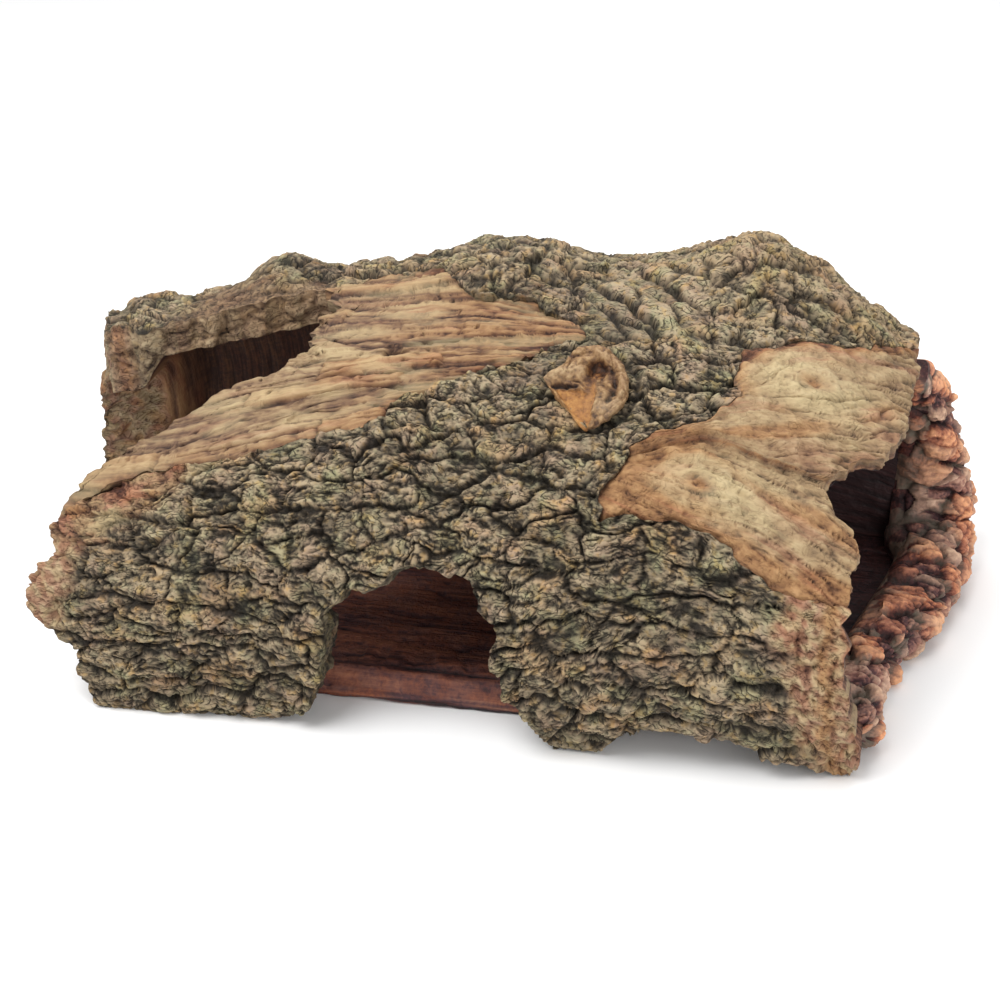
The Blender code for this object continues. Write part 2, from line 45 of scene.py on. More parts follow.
# ---------------------------------------------------------------- the plain log, in mm
# distance along the log, front foot, crest line, rear foot, crest height, tuck of the foot
STATIONS = np.array((
    (-146, -44, 50, 84, 69, 0),
    (-110, -57, 52, 88, 77.5, 1),
    (-60, -58, 54, 90, 91, 5),
    (0, -58, 56, 91, 98, 7),
    (60, -57, 58, 91, 100, 8),
    (100, -55, 57, 89, 89.5, 8),
    (140, -48, 52, 84, 64, 6),
), float)
CENTRE_X, CENTRE_Y = -7.1, 18.0
# how square the cross-section is in front of the crest and behind it
FRONT_POWER, REAR_POWER = 2.5, 2.6
TUCK_HEIGHT = 34.0
ROOF_WALL, FOOT_WALL, FOOT_TAPER = 8.0, 14.0, 70.0
POST_WALL, BEAM_WALL = 21.0, 10.0
POST_INNER_X, BEAM_REAR_GIRTH, BLEND = -119.0, 190.0, 13.0
REAR_FOOT_GIRTH = 291.0

# edges of the pieces: place along the log, girth up round it from the front foot
FRONT_LEFT = ((-119.5, 68), (-107, 78), (-98, 81), (-87, 83), (-72, 84), (-58, 87), (-42, 91), (-27, 94))
FRONT_MIDDLE = ((-27, 94), (-7, 81), (10, 76), (24, 73), (35, 70))
FRONT_RIGHT = ((35, 70), (59, 70), (75, 62), (87, 56), (102, 59))
CROWN_LEFT = ((-27, 94), (-27, 101), (-15, 107), (0, 116), (12, 123), (21, 128))
CROWN_RIGHT = ((35, 70), (34, 78), (40, 87), (53, 97), (66, 107), (65, 124))
REAR_LEFT = ((-60, 162), (-50, 168), (-42, 169), (-26, 158), (-12, 146), (3, 144), (16, 137), (21, 128))
REAR_MIDDLE = ((21, 128), (38, 127), (52, 126), (65, 124))
REAR_RIGHT = ((65, 124), (78, 135), (94, 144), (106, 158), (113, 170))
HOLE_EDGE = (
    (-119.5, 68), (-115, 77), (-107, 85), (-93, 96), (-80, 101), (-85, 105), (-75, 107), (-63, 110),
    (-67, 114.5), (-57, 119), (-54, 126), (-58, 133), (-55, 146), (-60, 162),
)
BROKEN_EDGE = (
    (102, 59), (102, 65), (101, 76), (93, 89), (95, 93), (108, 108), (110, 118), (113, 144), (113, 170),
)
LEFT_END = (
    (-104, 0), (-109, 12), (-110, 24), (-117, 28), (-122, 31.5), (-125, 38), (-125, 44), (-122.5, 51),
    (-119, 54.5), (-118, 57), (-120, 61), (-121, 65), (-119.5, 68),
)
RIGHT_END = ((106, 0), (108, 10), (104, 30), (101, 49), (102, 59))
LEFT_FOOT = ((-52, 0), (-70, 0), (-104, 0))
RIGHT_FOOT = (
    (26, 0), (36, 0), (42, 6), (52, 11), (64, 12), (78, 9.5), (90, 6), (99, 2), (106, 0),
)
DOORWAY = (
    (-52, 0), (-47, 3), (-43, 9), (-39, 17), (-37, 30), (-38, 39), (-32, 45), (-23, 48), (-16, 53),
    (-7, 54), (2, 51), (7, 44), (10, 36), (9, 29), (12, 21), (18, 14), (21, 7), (26, 0),
)
POST_OUTER = ((-134, 160), (-139, 176), (-146, 200), (-149, 235), (-150, 262), (-149, 291))
HOLE_REAR = ((-134, 160), (-120, 158), (-104, 161), (-88, 159), (-72, 161), (-60, 162))
STUB_PLACE = (27.0, 107.0)
# each mound: place along the log, girth, radius, height
MOUNDS = (
    (-81, 177, 12, 8.0), (-9, 166, 22, 10), (68, 168, 21, 14.5), (92, 160, 11, 4.0),
    (-127, 182, 9, 3.0), (86, 121, 12, 2.0), (58, 80, 11, 2.0), (-121, 41, 7, 3.0), (-30, 92, 12, 2.5),
)


# ---------------------------------------------------------------- noise over a plane and in space
NOISE_GAIN = 1.5
CELL_JITTER, CELL_JITTER_3 = 0.85, 0.9
FAR_OFF = 1e9


def hash01(i, j, seed):
    """Number from 0 to 1 that looks random but is fixed by two whole numbers and a seed."""
    h = (i.astype(np.int64) * 374761393 + j.astype(np.int64) * 668265263 + seed * 362437) & 0xFFFFFFFF
    h = ((h ^ (h >> 13)) * 1274126177) & 0xFFFFFFFF
    h = ((h ^ (h >> 16)) * 2246822519) & 0xFFFFFFFF
    return ((h ^ (h >> 15)) & 0xFFFFFF) / float(1 << 24)


def eased(t):
    """Share from 0 to 1 with no kink at either end."""
    return t * t * t * (t * (t * 6 - 15) + 10)


def noise2(x, y, seed):
    """Smooth noise between about -1 and 1."""
    i, j = np.floor(x), np.floor(y)
    u, v = x - i, y - j
    su, sv = eased(u), eased(v)
    total = 0
    for di, dj in product((0, 1), repeat=2):
        angle = 2 * math.pi * hash01(i + di, j + dj, seed)
        slope = np.cos(angle) * (u - di) + np.sin(angle) * (v - dj)
        total = total + slope * (su if di else 1 - su) * (sv if dj else 1 - sv)
    return total * NOISE_GAIN


def fbm(x, y, seed, octaves):
    """Noise with finer noise added to it, each half as strong as the one before."""
    return sum(0.5 ** k * noise2(x * 2 ** k, y * 2 ** k, seed + k) for k in range(octaves))


def cells(x, y, wide, tall, seed):
    """Irregular cells: mm to the nearest border, how level it is, the cell's number and offset."""
    gx, gy = x / wide, y / tall
    i0, j0 = np.floor(gx), np.floor(gy)

    def centre(di, dj):
        i, j = i0 + di, j0 + dj
        px = i + 0.5 + (hash01(i, j, seed) - 0.5) * CELL_JITTER
        py = j + 0.5 + (hash01(i, j, seed + 1) - 0.5) * CELL_JITTER
        return px, py, hash01(i, j, seed + 2)

    best, border = np.full(np.shape(x), FAR_OFF), np.full(np.shape(x), FAR_OFF)
    bx, by, own, level = (np.zeros_like(best) for _ in range(4))
    for di, dj in product((-1, 0, 1), repeat=2):
        px, py, number = centre(di, dj)
        d = (px - gx) ** 2 + (py - gy) ** 2
        near = d < best
        best = np.where(near, d, best)
        bx, by = np.where(near, px, bx), np.where(near, py, by)
        own = np.where(near, number, own)
    for di, dj in product((-2, -1, 0, 1, 2), repeat=2):
        px, py, _number = centre(di, dj)
        ex, ey = px - bx, py - by
        slope = np.hypot(ex / wide, ey / tall)
        other = slope > 1e-7
        safe = np.where(other, slope, 1)
        d = np.where(other, (((bx + px) / 2 - gx) * ex + ((by + py) / 2 - gy) * ey) / safe, FAR_OFF)
        near = d < border
        border = np.where(near, d, border)
        level = np.where(near, np.abs(ey / tall) / safe, level)
    return border, level, own, (gy - by) * tall


def hash3(i, j, k, seed):
    """The same kind of number for a place in space."""
    return hash01(i + 57 * k, j - 131 * k, seed + 7)


def noise3(p, seed):
    """Smooth noise in space, between about -1 and 1."""
    base = np.floor(p)
    f = p - base
    w = eased(f)
    total = 0
    for step in product((0, 1), repeat=3):
        i, j, k = (base[..., m] + step[m] for m in range(3))
        turn = 2 * math.pi * hash3(i, j, k, seed)
        up = 2 * hash3(i, j, k, seed + 1) - 1
        flat = np.sqrt(1 - up * up)
        slope = flat * np.cos(turn) * (f[..., 0] - step[0]) + flat * np.sin(turn) * (f[..., 1] - step[1])
        slope = slope + up * (f[..., 2] - step[2])
        shares = [w[..., m] if step[m] else 1 - w[..., m] for m in range(3)]
        total = total + slope * (shares[0] * shares[1]) * shares[2]
    return total * NOISE_GAIN


def cells3(p, seed):
    """Irregular cells in space: distance to the border in cell sizes, and the cell's number."""
    base = np.floor(p)
    first, second = np.full(p.shape[:-1], FAR_OFF), np.full(p.shape[:-1], FAR_OFF)
    own = np.zeros(p.shape[:-1])
    for step in product((-1, 0, 1), repeat=3):
        ijk = [base[..., m] + step[m] for m in range(3)]
        centre = [n + 0.5 + (hash3(*ijk, seed + 10 * m) - 0.5) * CELL_JITTER_3 for m, n in enumerate(ijk)]
        d = np.sqrt(sum((c - p[..., m]) ** 2 for m, c in enumerate(centre)))
        own = np.where(d < first, hash3(*ijk, seed + 40), own)
        second = np.where(d < first, first, np.minimum(second, d))
        first = np.minimum(first, d)
    return second - first, own


def rise(low, high, value):
    """Smooth step from 0 at low to 1 at high."""
    t = np.clip((value - low) / (high - low), 0, 1)
    return t * t * (3 - 2 * t)


def bell(distance, width):
    """Smooth bump, 1 in the middle and gone at twice the width."""
    return np.exp(-(distance / width) ** 2)


# ---------------------------------------------------------------- the log's surface
def station(x):
    """Front foot, crest line, rear foot, crest height and tuck at x, smoothly between the stations."""
    xs = STATIONS[:, 0]
    x = np.clip(x, xs[0], xs[-1])
    i = np.clip(np.searchsorted(xs, x, side="right") - 1, 0, len(xs) - 2)
    a, b = STATIONS[i], STATIONS[i + 1]
    before, after = STATIONS[np.maximum(i - 1, 0)], STATIONS[np.minimum(i + 2, len(xs) - 1)]
    span = (b[..., 0] - a[..., 0])[..., None]
    t = (x[..., None] - a[..., :1]) / span
    leave = (b - before) / (b[..., :1] - before[..., :1]) * span
    arrive = (after - a) / (after[..., :1] - a[..., :1]) * span
    made = (2 * t ** 3 - 3 * t * t + 1) * a + (t ** 3 - 2 * t * t + t) * leave
    made = made + (3 * t * t - 2 * t ** 3) * b + (t ** 3 - t * t) * arrive
    return [made[..., k] for k in range(1, 6)]


def section(x, angle, depth):
    """Point of the cross-section at x: angle runs from front foot to rear foot, depth goes inwards."""
    front, crest, rear, height, tuck = station(x)
    c, s = np.cos(angle), np.maximum(np.sin(angle), 0)
    ahead = c > 0
    power = np.where(ahead, FRONT_POWER, REAR_POWER)
    reach = np.where(ahead, crest - front, rear - crest) - depth
    z = (height - depth) * s ** (2 / power)
    y = crest - np.sign(c) * np.abs(c) ** (2 / power) * reach
    y = y + np.where(ahead, tuck * np.maximum(0, 1 - z / TUCK_HEIGHT) ** 2, 0)
    return np.stack([x - CENTRE_X, y - CENTRE_Y, z], -1) * MM


def walked(line):
    """Distance from the first point to each point of a line."""
    return np.concatenate([[0], np.cumsum(np.linalg.norm(np.diff(line, axis=0), axis=1))])


# girth against angle, measured on the section at x = 0
ANGLES = np.linspace(0, math.pi, 721)
MIDDLE = section(np.zeros_like(ANGLES), ANGLES, np.zeros_like(ANGLES)) / MM
GIRTHS = walked(MIDDLE)


def surface(x, girth, depth):
    """Point at x, girth mm up round the log from its front foot, depth mm under the skin."""
    return section(x, np.interp(girth, GIRTHS, ANGLES), depth)


def to_frame(p):
    """Point of the fitted log, in mm, as a point of the frame, in metres."""
    return (p - np.array((CENTRE_X, CENTRE_Y, 0))) * MM


def unit(vectors):
    """Vectors of length 1."""
    return vectors / np.maximum(np.linalg.norm(vectors, axis=-1, keepdims=True), 1e-9)


def fade(distance):
    """Share of an extra thickness, from 0 outside it to 1 well inside."""
    return rise(-0.5, 0.5, distance / BLEND)


def wall_thickness(x, girth, end_rim):
    """Thickness in mm: thin at the roof, thicker at the feet, thickest in the post of the end rim."""
    low = np.minimum(girth, REAR_FOOT_GIRTH - girth)
    t = np.clip(1 - low / FOOT_TAPER, 0, 1)
    wall = ROOF_WALL + (FOOT_WALL - ROOF_WALL) * np.minimum(1, 1.6 * t)
    if end_rim:
        wall = np.maximum(wall, ROOF_WALL + (POST_WALL - ROOF_WALL) * fade(POST_INNER_X - x))
        wall = np.maximum(wall, ROOF_WALL + (BEAM_WALL - ROOF_WALL) * fade(BEAM_REAR_GIRTH - girth))
    return wall


def mounds(x, v):
    """Height in mm of the broad mounds."""
    return sum(size * np.exp(-((x - mx) ** 2 + (v - mv) ** 2) / r ** 2) for mx, mv, r, size in MOUNDS)


# ---------------------------------------------------------------- bark and wood
def painted(h, top, along, across, warm=0.0, pale=0.0, violet=0.0, wood=0.0):
    """A surface: relief in mm, how exposed it is, the lie of its grain, and its paint masks."""
    made = dict(h=h, top=top, s=along, g=across, warm=warm, pale=pale, violet=violet, wood=wood)
    return {key: value + np.zeros_like(h) for key, value in made.items()}


def line_at(x, outline):
    """Girth at x of an outline that runs along the log."""
    return np.interp(x, [p[0] for p in outline], [p[1] for p in outline])


def line_up(v, outline):
    """Place along the log, at girth v, of an outline that runs up the log."""
    return np.interp(v, [p[1] for p in outline], [p[0] for p in outline])


def staircase(value, riser):
    """Value turned into flat steps, and how near each spot is to the edge of a step."""
    part = value - np.floor(value)
    return np.floor(value) + rise(0, riser, part), bell(part - 0.3 * riser, 0.5 * riser)


def warped(x, v):
    """Places of the bark's cells, pushed about so that their borders wander."""
    stretched = x - 0.4 * np.maximum(x - 50, 0) * rise(75, 45, v)
    far, near, tiny = (x / 15, v / 11), (x / 5.2, v / 4.4), (x / 1.9, v / 1.8)
    wx = stretched + 3.2 * noise2(*far, 11) + 1.6 * noise2(*near, 12) + 0.5 * noise2(*tiny, 15)
    wv = v + 2.6 * noise2(*far, 13) + 1.3 * noise2(*near, 14) + 0.45 * noise2(*tiny, 16)
    return wx, wv


def nested_outline(x, v, edge, plate):
    """Thin rings inside some of the plates, each set in from the last."""
    inset = (edge + 0.4 * noise2(x / 2.4, v / 2.0, 20)) / 1.7
    ring = bell((inset - np.round(inset)) * 1.7, 0.32) * rise(0.5, 0.9, inset) * rise(0.38, 0.46, plate)
    return ring * rise(-0.4, 0.0, noise2(x / 3.2, v / 3, 22))


def bark(x, v):
    """Plates of bark split by cracks of three sizes: relief in mm and paint masks."""
    wx, wv = warped(x, v)
    edge_a, level_a, plate, tilt = cells(wx, wv, 15.5, 8.6, 21)
    edge_b, level_b, scale, _ = cells(wx + 5, wv, 7.6, 4.3, 31)
    edge_c, _, chip, _ = cells(wx, wv, 3.4, 2.1, 51)
    strength = rise(-0.5, 0.4, noise2(x / 9, v / 7, 17))
    crack = bell(edge_a, 0.26 + (0.15 + 0.4 * level_a) * strength)
    split = bell(edge_b, 0.26 + 0.14 * level_b) * rise(-0.3, 0.15, noise2(x / 7, v / 6, 18))
    nick = bell(edge_c, 0.28) * rise(-0.3, 0.2, noise2(x / 4, v / 3.4, 19))
    ring = nested_outline(x, v, edge_a, plate)
    swell = fbm(x / 13, v / 10, 61, 2)
    pits = rise(0.3, 0.5, noise2(x / 1.4, v / 1.1, 71))
    holes = rise(0.52, 0.66, noise2(wx / 5.0, wv / 3.2, 72))
    h = 0.1 + 0.9 * (1 - np.exp(-edge_a / 0.8)) + 2.0 * (plate - 0.5) + 1.0 * swell + 0.8 * (scale - 0.5)
    h = h + 0.14 * tilt * (plate - 0.35) + 0.45 * (chip - 0.5) + 0.2 * noise2(x / 1.1, v / 1.0, 73)
    h = h - 1.2 * crack - 0.8 * split - 0.4 * nick - 0.55 * ring - 0.35 * pits - 1.0 * holes
    h = h + 1.5 * noise2(x / 7, v / 6, 74) * bell(v - 172, 22)
    dark = 0.95 * crack + 0.75 * split + 0.45 * nick + 0.6 * ring + 0.35 * pits + 0.6 * holes
    top = 0.88 - dark + 0.25 * (plate - 0.5) + 0.3 * (scale - 0.5) + 0.3 * (chip - 0.5) + 0.2 * swell
    warm = rise(0.15, 0.7, noise2(x / 15, v / 12, 81) + 0.9 * (scale - 0.5))
    pale = rise(0.1, 0.6, noise2(x / 12, v / 10, 82) + 0.5 * (scale - 0.5))
    violet = rise(0.0, 0.6, noise2(x / 12, v / 9, 83) + 0.7 * (chip - 0.5))
    return painted(h, np.clip(top, 0, 1), x, v, warm, pale, violet)


# the slivers over the saddle: middle, reach each way, direction
STRIPS_AT, STRIPS_REACH, STRIPS_TURN = (37.0, 148.0), (17.0, 19.0), math.radians(-47)


def strips(x, v, made):
    """Long overlapping slivers of bark slanting over the saddle, laid over the plates."""
    c, s = math.cos(STRIPS_TURN), math.sin(STRIPS_TURN)
    dx, dv = x - STRIPS_AT[0], v - STRIPS_AT[1]
    along, across = dx * c + dv * s, dv * c - dx * s + 1.5 * noise2(x / 9, v / 9, 91)
    edge, _, own, _ = cells(along + 30, across + 0.8 * noise2(x / 3, v / 3, 92), 42, 7.2, 93)
    away = np.hypot(dx / STRIPS_REACH[0], dv / STRIPS_REACH[1]) + 0.25 * noise2(x / 7, v / 7, 94)
    crack = bell(edge, 0.75)
    fine = noise2(along / 9, across / 1.8, 95)
    h = 2.6 * (own - 0.4) + 1.2 * (1 - np.exp(-edge / 0.7)) - 1.4 * crack
    h = h + 0.3 * fine + 0.4 * noise2(x / 3, v / 3, 96)
    top = np.clip(0.84 - 1.3 * crack + 0.5 * (own - 0.5) + 0.3 * fine, 0, 1)
    return blend(made, dict(made, h=h, top=top), rise(1.25, 0.8, away))


def grain(s, g, seed, coarse=1.0):
    """Relief of split wood along the grain s, across it g, and how exposed each spot is."""
    bend = g + 1.3 * noise2(s / 26, g / 9, seed + 9)
    broad = noise2(s / 60, bend / 4.6, seed)
    mid = noise2(s / 34, bend / 1.9, seed + 1)
    fine = noise2(s / 16, bend / 0.95, seed + 2)
    stairs, riser = staircase(noise2(s / 70, bend / 10, seed + 3) * 2.6 + 0.05 * bend, 0.07)
    cracked = rise(-0.25, 0.2, noise2(s / 18, bend / 14, seed + 5))
    crack = bell(noise2(s / 42, bend / 6.2, seed + 4), 0.045) * cracked
    checked = rise(0.1, 0.4, noise2(s / 9, bend / 5, seed + 7))
    check = bell(noise2(s / 20, bend / 2.6, seed + 6), 0.06) * checked
    h = coarse * (0.5 * broad + 0.34 * mid + 0.95 * (stairs - 0.05 * bend))
    h = h + 0.18 * fine - 1.2 * crack - 0.5 * check
    dark = 0.75 * crack + 0.5 * check + 0.45 * riser
    top = np.clip(0.62 + 0.3 * broad + 0.34 * mid + 0.2 * fine - dark, 0, 1)
    return h, top


# across the grain, before it fans out
PLANK_WIDTH = 7.2


def planks(x, v, g, spread):
    """Broken strips laid side by side: how high each is, its ledges and ends, mm to its side and end."""
    strip = g + 2.2 * noise2(x / 26, g / 8, 111) + 0.4 * noise2(x / 7, g / 3, 112)
    part = strip / PLANK_WIDTH + 0.6 * noise2(x / 50, g / 9, 113)
    row = np.floor(part)
    side = np.minimum(part - row, row + 1 - part) * PLANK_WIDTH * spread
    own = hash01(row, 0 * part, 114)
    length = 26 + 22 * own
    walk = (x + 1.4 * noise2(x / 4, v / 2.5, 117)) / length + 9 * own
    piece = np.floor(walk)
    level = hash01(row, piece, 118)
    stop = np.minimum(walk - piece, piece + 1 - walk) * length
    ledge = bell(side, 0.5) * rise(0.2, 0.45, level + 0.5 * noise2(x / 25, g / 6, 115))
    return level, ledge, bell(stop, 0.45) * rise(0.35, 0.55, level), side, stop


def wood_left(x, v):
    """Peeled wood: broken strips that fan out from the crown tip, and a knot hole."""
    spread = 0.5 + 0.5 * np.clip((24 - x) / 84, 0, 1.3)
    g = (v - 129) / spread * 0.8
    h, top = grain(x * 0.8, g, 101, 0.6)
    level, ledge, end, side, stop = planks(x, v, g, spread)
    pits = rise(0.42, 0.6, noise2(x / 2.6, v / 2.0, 121)) * rise(0.0, 0.4, noise2(x / 15, v / 12, 122))
    rough = fbm(x / 4.2, v / 2.6, 124, 3)
    r = np.hypot((x + 31) / 1.4, v - 121.8) + 0.5 * noise2(x / 2, v / 2, 123)
    knot = rise(3.0, 1.4, r)
    h = 0.8 * h + 1.9 * (level - 0.5) * rise(0, 0.9, side) * rise(0, 0.9, stop) + 0.4 * rough
    h = h - 0.9 * ledge - 0.7 * end - 0.9 * pits - 2.6 * knot + 0.6 * bell(r - 4, 1.3)
    top = 0.64 + 0.7 * (top - 0.62) + 0.22 * (level - 0.5) + 0.26 * rough
    top = top - 0.6 * ledge - 0.45 * end - 0.4 * pits - 0.03 - 0.7 * knot - 0.16 * rise(-50, -95, x)
    warm = rise(-62, 14, x + 18 * noise2(x / 18, v / 7, 131)) * 0.75 + 0.4 * rise(0.6, 0.9, level)
    pale = 0.6 * rise(0.0, 0.6, noise2(x / 20, g / 5, 132) + 0.2)
    violet = rise(0.05, 0.55, noise2(x / 22, g / 5, 133) + 0.4 * (level - 0.4)) * 0.45
    return painted(h, np.clip(top, 0, 1), x, g, np.clip(warm, 0, 1), pale, violet, 1.0)


# each knot: place along the log, girth, reach
KNOTS = ((86, 120, 12), (60, 81, 9))
GROOVE = ((30, 84), (40, 87), (59, 94), (75, 91), (95, 90))


def upper_fan(x, v):
    """Grain of the upper lobe, fanning out from its narrow end."""
    return np.arctan2(v - 84, np.maximum(x - 22, 4)) * 62


def lower_fan(x, v):
    """Grain of the lower lobe, which also curves down."""
    return np.arctan2(v - 84 + 0.0030 * np.maximum(x - 40, 0) ** 2, np.maximum(x - 8, 4)) * 78


def flow(fan, knot, x, v):
    """The grain of a fan, bending round its knot."""
    kx, kv, reach = knot
    r2 = ((x - kx) / reach / 1.4) ** 2 + ((v - kv) / reach) ** 2
    middle = fan(kx, kv)
    return middle + (fan(x, v) - middle) * (1 - 0.8 * np.exp(-r2))


def knot_marks(x, v, h, top):
    """Sunk knots with a lip under them and paler wood round them."""
    pale, hollow = np.zeros_like(h), np.zeros_like(h)
    for kx, kv, _reach in KNOTS:
        r = np.hypot((x - kx) / 1.5, v - kv + 0.1 * (x - kx)) + 0.5 * noise2(x / 3, v / 3, 242)
        hollow = hollow + bell(r, 2.0)
        h = h + 0.6 * bell(r - 4.0, 1.8) * rise(3, -4, v - kv) - 1.5 * bell(r, 1.8)
        pale = pale + bell(r - 4.5, 6.5)
        lip = bell(r - 2.9, 0.7) * rise(1, -2, v - kv)
        top = top - 0.30 * bell(r, 2.0) - 0.30 * lip + 0.2 * bell(r - 6, 3.4)
    return h, top, pale, np.clip(hollow, 0, 1)


def wood_right(x, v):
    """Peeled wood in two lobes with a groove between, and grain that flows round two knots."""
    across = v - line_at(x, GROOVE) - 1.2 * noise2(x / 9, v / 9, 241)
    lobe = rise(-2.5, 2.5, across)
    g = flow(upper_fan, KNOTS[0], x, v) * lobe + (flow(lower_fan, KNOTS[1], x, v) - 20) * (1 - lobe)
    h, top = grain(x, g, 201, 0.36)
    rough = fbm(x / 5, v / 3.4, 244, 3)
    from_end = line_up(v, BROKEN_EDGE) - x + 5 * noise2(x / 7, v / 7, 247)
    split = bell(noise2(x / 16, g / 2.6, 246), 0.10) * rise(17, 4, from_end)
    line = bell(noise2(x / 44, g / 6, 250), 0.035) * rise(-0.2, 0.1, noise2(x / 20, g / 9, 251))
    h = 0.3 * h + 0.8 * rough + 1.2 * noise2(x / 16, g / 7, 245) - 1.0 * split - 0.8 * line
    top = 0.72 + 0.2 * (top - 0.62) + 0.32 * rough - 0.45 * split - 0.45 * line
    h, top, pale, hollow = knot_marks(x, v, h, top)
    pale = pale + 0.7 * bell(x - 72, 12) * bell(v - 76, 9)
    spots = rise(0.42, 0.58, noise2(x / 1.7, v / 1.5, 243)) * (0.25 + np.clip(pale, 0, 1))
    groove = bell(across, 1.2) * rise(108, 84, x)
    h = h + 1.5 * rise(-1.2, 1.5, across) - 0.8 * groove - 0.35 * spots
    low = v - line_at(x, FRONT_RIGHT) + 3 * noise2(x / 8, v / 6, 248)
    back = line_at(x, REAR_RIGHT) - v + 2 * noise2(x / 6, v / 6, 249)
    top = top - 0.34 * bell(back - 1.5, 1.8) - 0.3 * groove - 0.35 * spots
    warm = 0.2 + 0.9 * rise(66, 44, x) + 0.7 * rise(0.0, 0.5, noise2(x / 24, g / 7, 231))
    warm = warm + 1.0 * rise(12, 2, low) + 0.8 * bell(across + 1, 4) * rise(80, 50, x)
    warm = warm + 0.9 * rise(9, 2, back)
    warm = np.clip(warm * (1 - 0.5 * np.clip(pale, 0, 1)) + hollow, 0, 1)
    violet = rise(0.15, 0.6, noise2(x / 24, g / 6, 233)) + bell(back - 1, 3)
    violet = violet + 0.9 * bell(across - 5, 5) * rise(72, 90, x)
    return painted(h, np.clip(top, 0, 1), x, g, warm, np.clip(0.35 + pale, 0, 1) * (1 - 0.9 * warm),
                   0.6 * np.clip(violet - hollow, 0, 1), 0.94)


def blend(a, b, share):
    """One surface turning into another."""
    return {key: a[key] * (1 - share) + b[key] * share for key in a}


def knobs(x, v, seed, wide=8.0, tall=7.0):
    """Rounded lumps of two sizes: relief in mm and how exposed each spot is."""
    wx = x + 2.2 * noise2(x / 7, v / 7, seed)
    wv = v + 2.2 * noise2(x / 7, v / 7, seed + 1)
    edge, _, own, _ = cells(wx, wv, wide, tall, seed + 2)
    wx = wx + 0.8 * noise2(x / 2, v / 2, seed + 3)
    tiny, _, chip, _ = cells(wx, wv, wide * 0.45, tall * 0.45, seed + 4)
    dome, lump = 1 - np.exp(-edge / 1.0), 1 - np.exp(-tiny / 0.55)
    h = 1.5 * dome + 2.0 * (own - 0.5) + 0.5 * lump + 0.7 * (chip - 0.5) - 1.2
    top = 0.20 + 0.35 * dome + 0.28 * lump + 0.25 * (own - 0.5) + 0.2 * noise2(x / 1.5, v / 1.5, seed + 5)
    return h, np.clip(top, 0, 1)


# wood mask of raw torn wood, a little under that of peeled wood
RAW_WOOD = 0.87
ORANGE_BAND = ((103, 0), (99, 15), (97, 40), (97, 60))


def torn(x, v, seed):
    """Raw broken wood at the ends of the bark wall: knobs and splinters, orange in the creases."""
    made = bark(x * 1.35 + 40, v * 1.25 + x * 0.5)
    h, top = knobs(x + 0.4 * v, v, seed, 6.0, 8.0)
    mottle = noise2(x / 2.6, v / 3.2, seed + 60)
    band = bell(x - line_up(v, ORANGE_BAND) + 2 * noise2(x / 5, v / 5, seed + 7), 2.2)
    return painted(
        0.55 * made["h"] + 1.1 * h,
        np.clip(0.5 * made["top"] + 0.85 * top + 0.22 * mottle + 0.13, 0, 1), made["s"], made["g"],
        warm=np.clip(0.35 * rise(0.1, -0.4, noise2(x / 7, v / 9, seed + 65)) + band, 0, 1),
        pale=rise(0.0, 0.35, mottle) * (1 - band),
        violet=(0.3 + 0.7 * rise(0.2, -0.2, mottle)) * (1 - band), wood=RAW_WOOD)


def bare(made, share):
    """Bark of the same relief with its dark wash rubbed off, showing the colours of the wood."""
    return dict(
        made, top=made["top"] * (1 - 0.35 * share) + 0.22 * share,
        wood=np.maximum(made["wood"], RAW_WOOD * share), warm=np.clip(made["warm"] + 0.35 * share, 0, 1))


TORN_END = ((96, 0), (97, 8), (88, 30), (83, 49), (88, 62))
RUBBED_STRIP = ((-130, 40), (-117, 50), (-100, 66), (-85, 74), (-70, 86))


def front_dress(x, v):
    """Front wall: bark, torn wood at both ends, and a rubbed strip slanting up on the left."""
    end = line_up(v, TORN_END) + 4.5 * noise2(x / 8, v / 9, 301)
    made = blend(bark(x, v), torn(x, v, 311), rise(-3.5, 3.5, x - end))
    strip = v - line_at(x, RUBBED_STRIP) + 7 * noise2(x / 9, v / 4, 302)
    made = bare(made, rise(-5.0, 6.0, strip) * rise(-62, -88, x + 8 * noise2(x / 7, v / 4, 304)))
    tip = rise(-109, -116, x + 4 * noise2(x / 6, v / 6, 303)) * rise(26, 32, v) * rise(64, 58, v)
    return blend(made, torn(x, v, 331), tip * 0.85)


def rear_dress(x, v):
    """Rear wall and ridge: bark, slivers over the saddle, painted highlight along the crest and towards the
    right end, and warmer paint along the crest.
    """
    made = strips(x, v, bark(x, v))
    seam = bell(v - line_at(x, REAR_LEFT) - 4, 5) * rise(15, -10, x)
    crest = bell(v - 168, 15)
    # painted highlight: lighter towards the right end and along the top of the crest, where the light falls
    made["top"] = np.clip(made["top"] + 0.17 * rise(-15, 75, x) + 0.16 * crest - 0.06, 0, 1)
    made["warm"] = np.clip(made["warm"] + 0.5 * crest * rise(35, 60, x), 0, 1)
    made["pale"] = np.maximum(made["pale"], seam)
    made["warm"] = np.maximum(made["warm"], 0.6 * seam)
    return made


def crown_dress(x, v):
    """Crown: bark and slivers, with a dark collar sunk round the cut branch."""
    made = strips(x, v, bark(x, v))
    r = np.hypot(x - STUB_PLACE[0], v - STUB_PLACE[1])
    collar = bell(r - 13.0, 0.9) * (0.35 + 0.65 * rise(-4, 6, x - STUB_PLACE[0]))
    made["h"] = made["h"] - 0.9 * collar + 0.8 * bell(r - 15.5, 2.0)
    made["top"] = np.clip(made["top"] + 0.03, 0, 1) * (1 - 0.7 * collar)
    return made


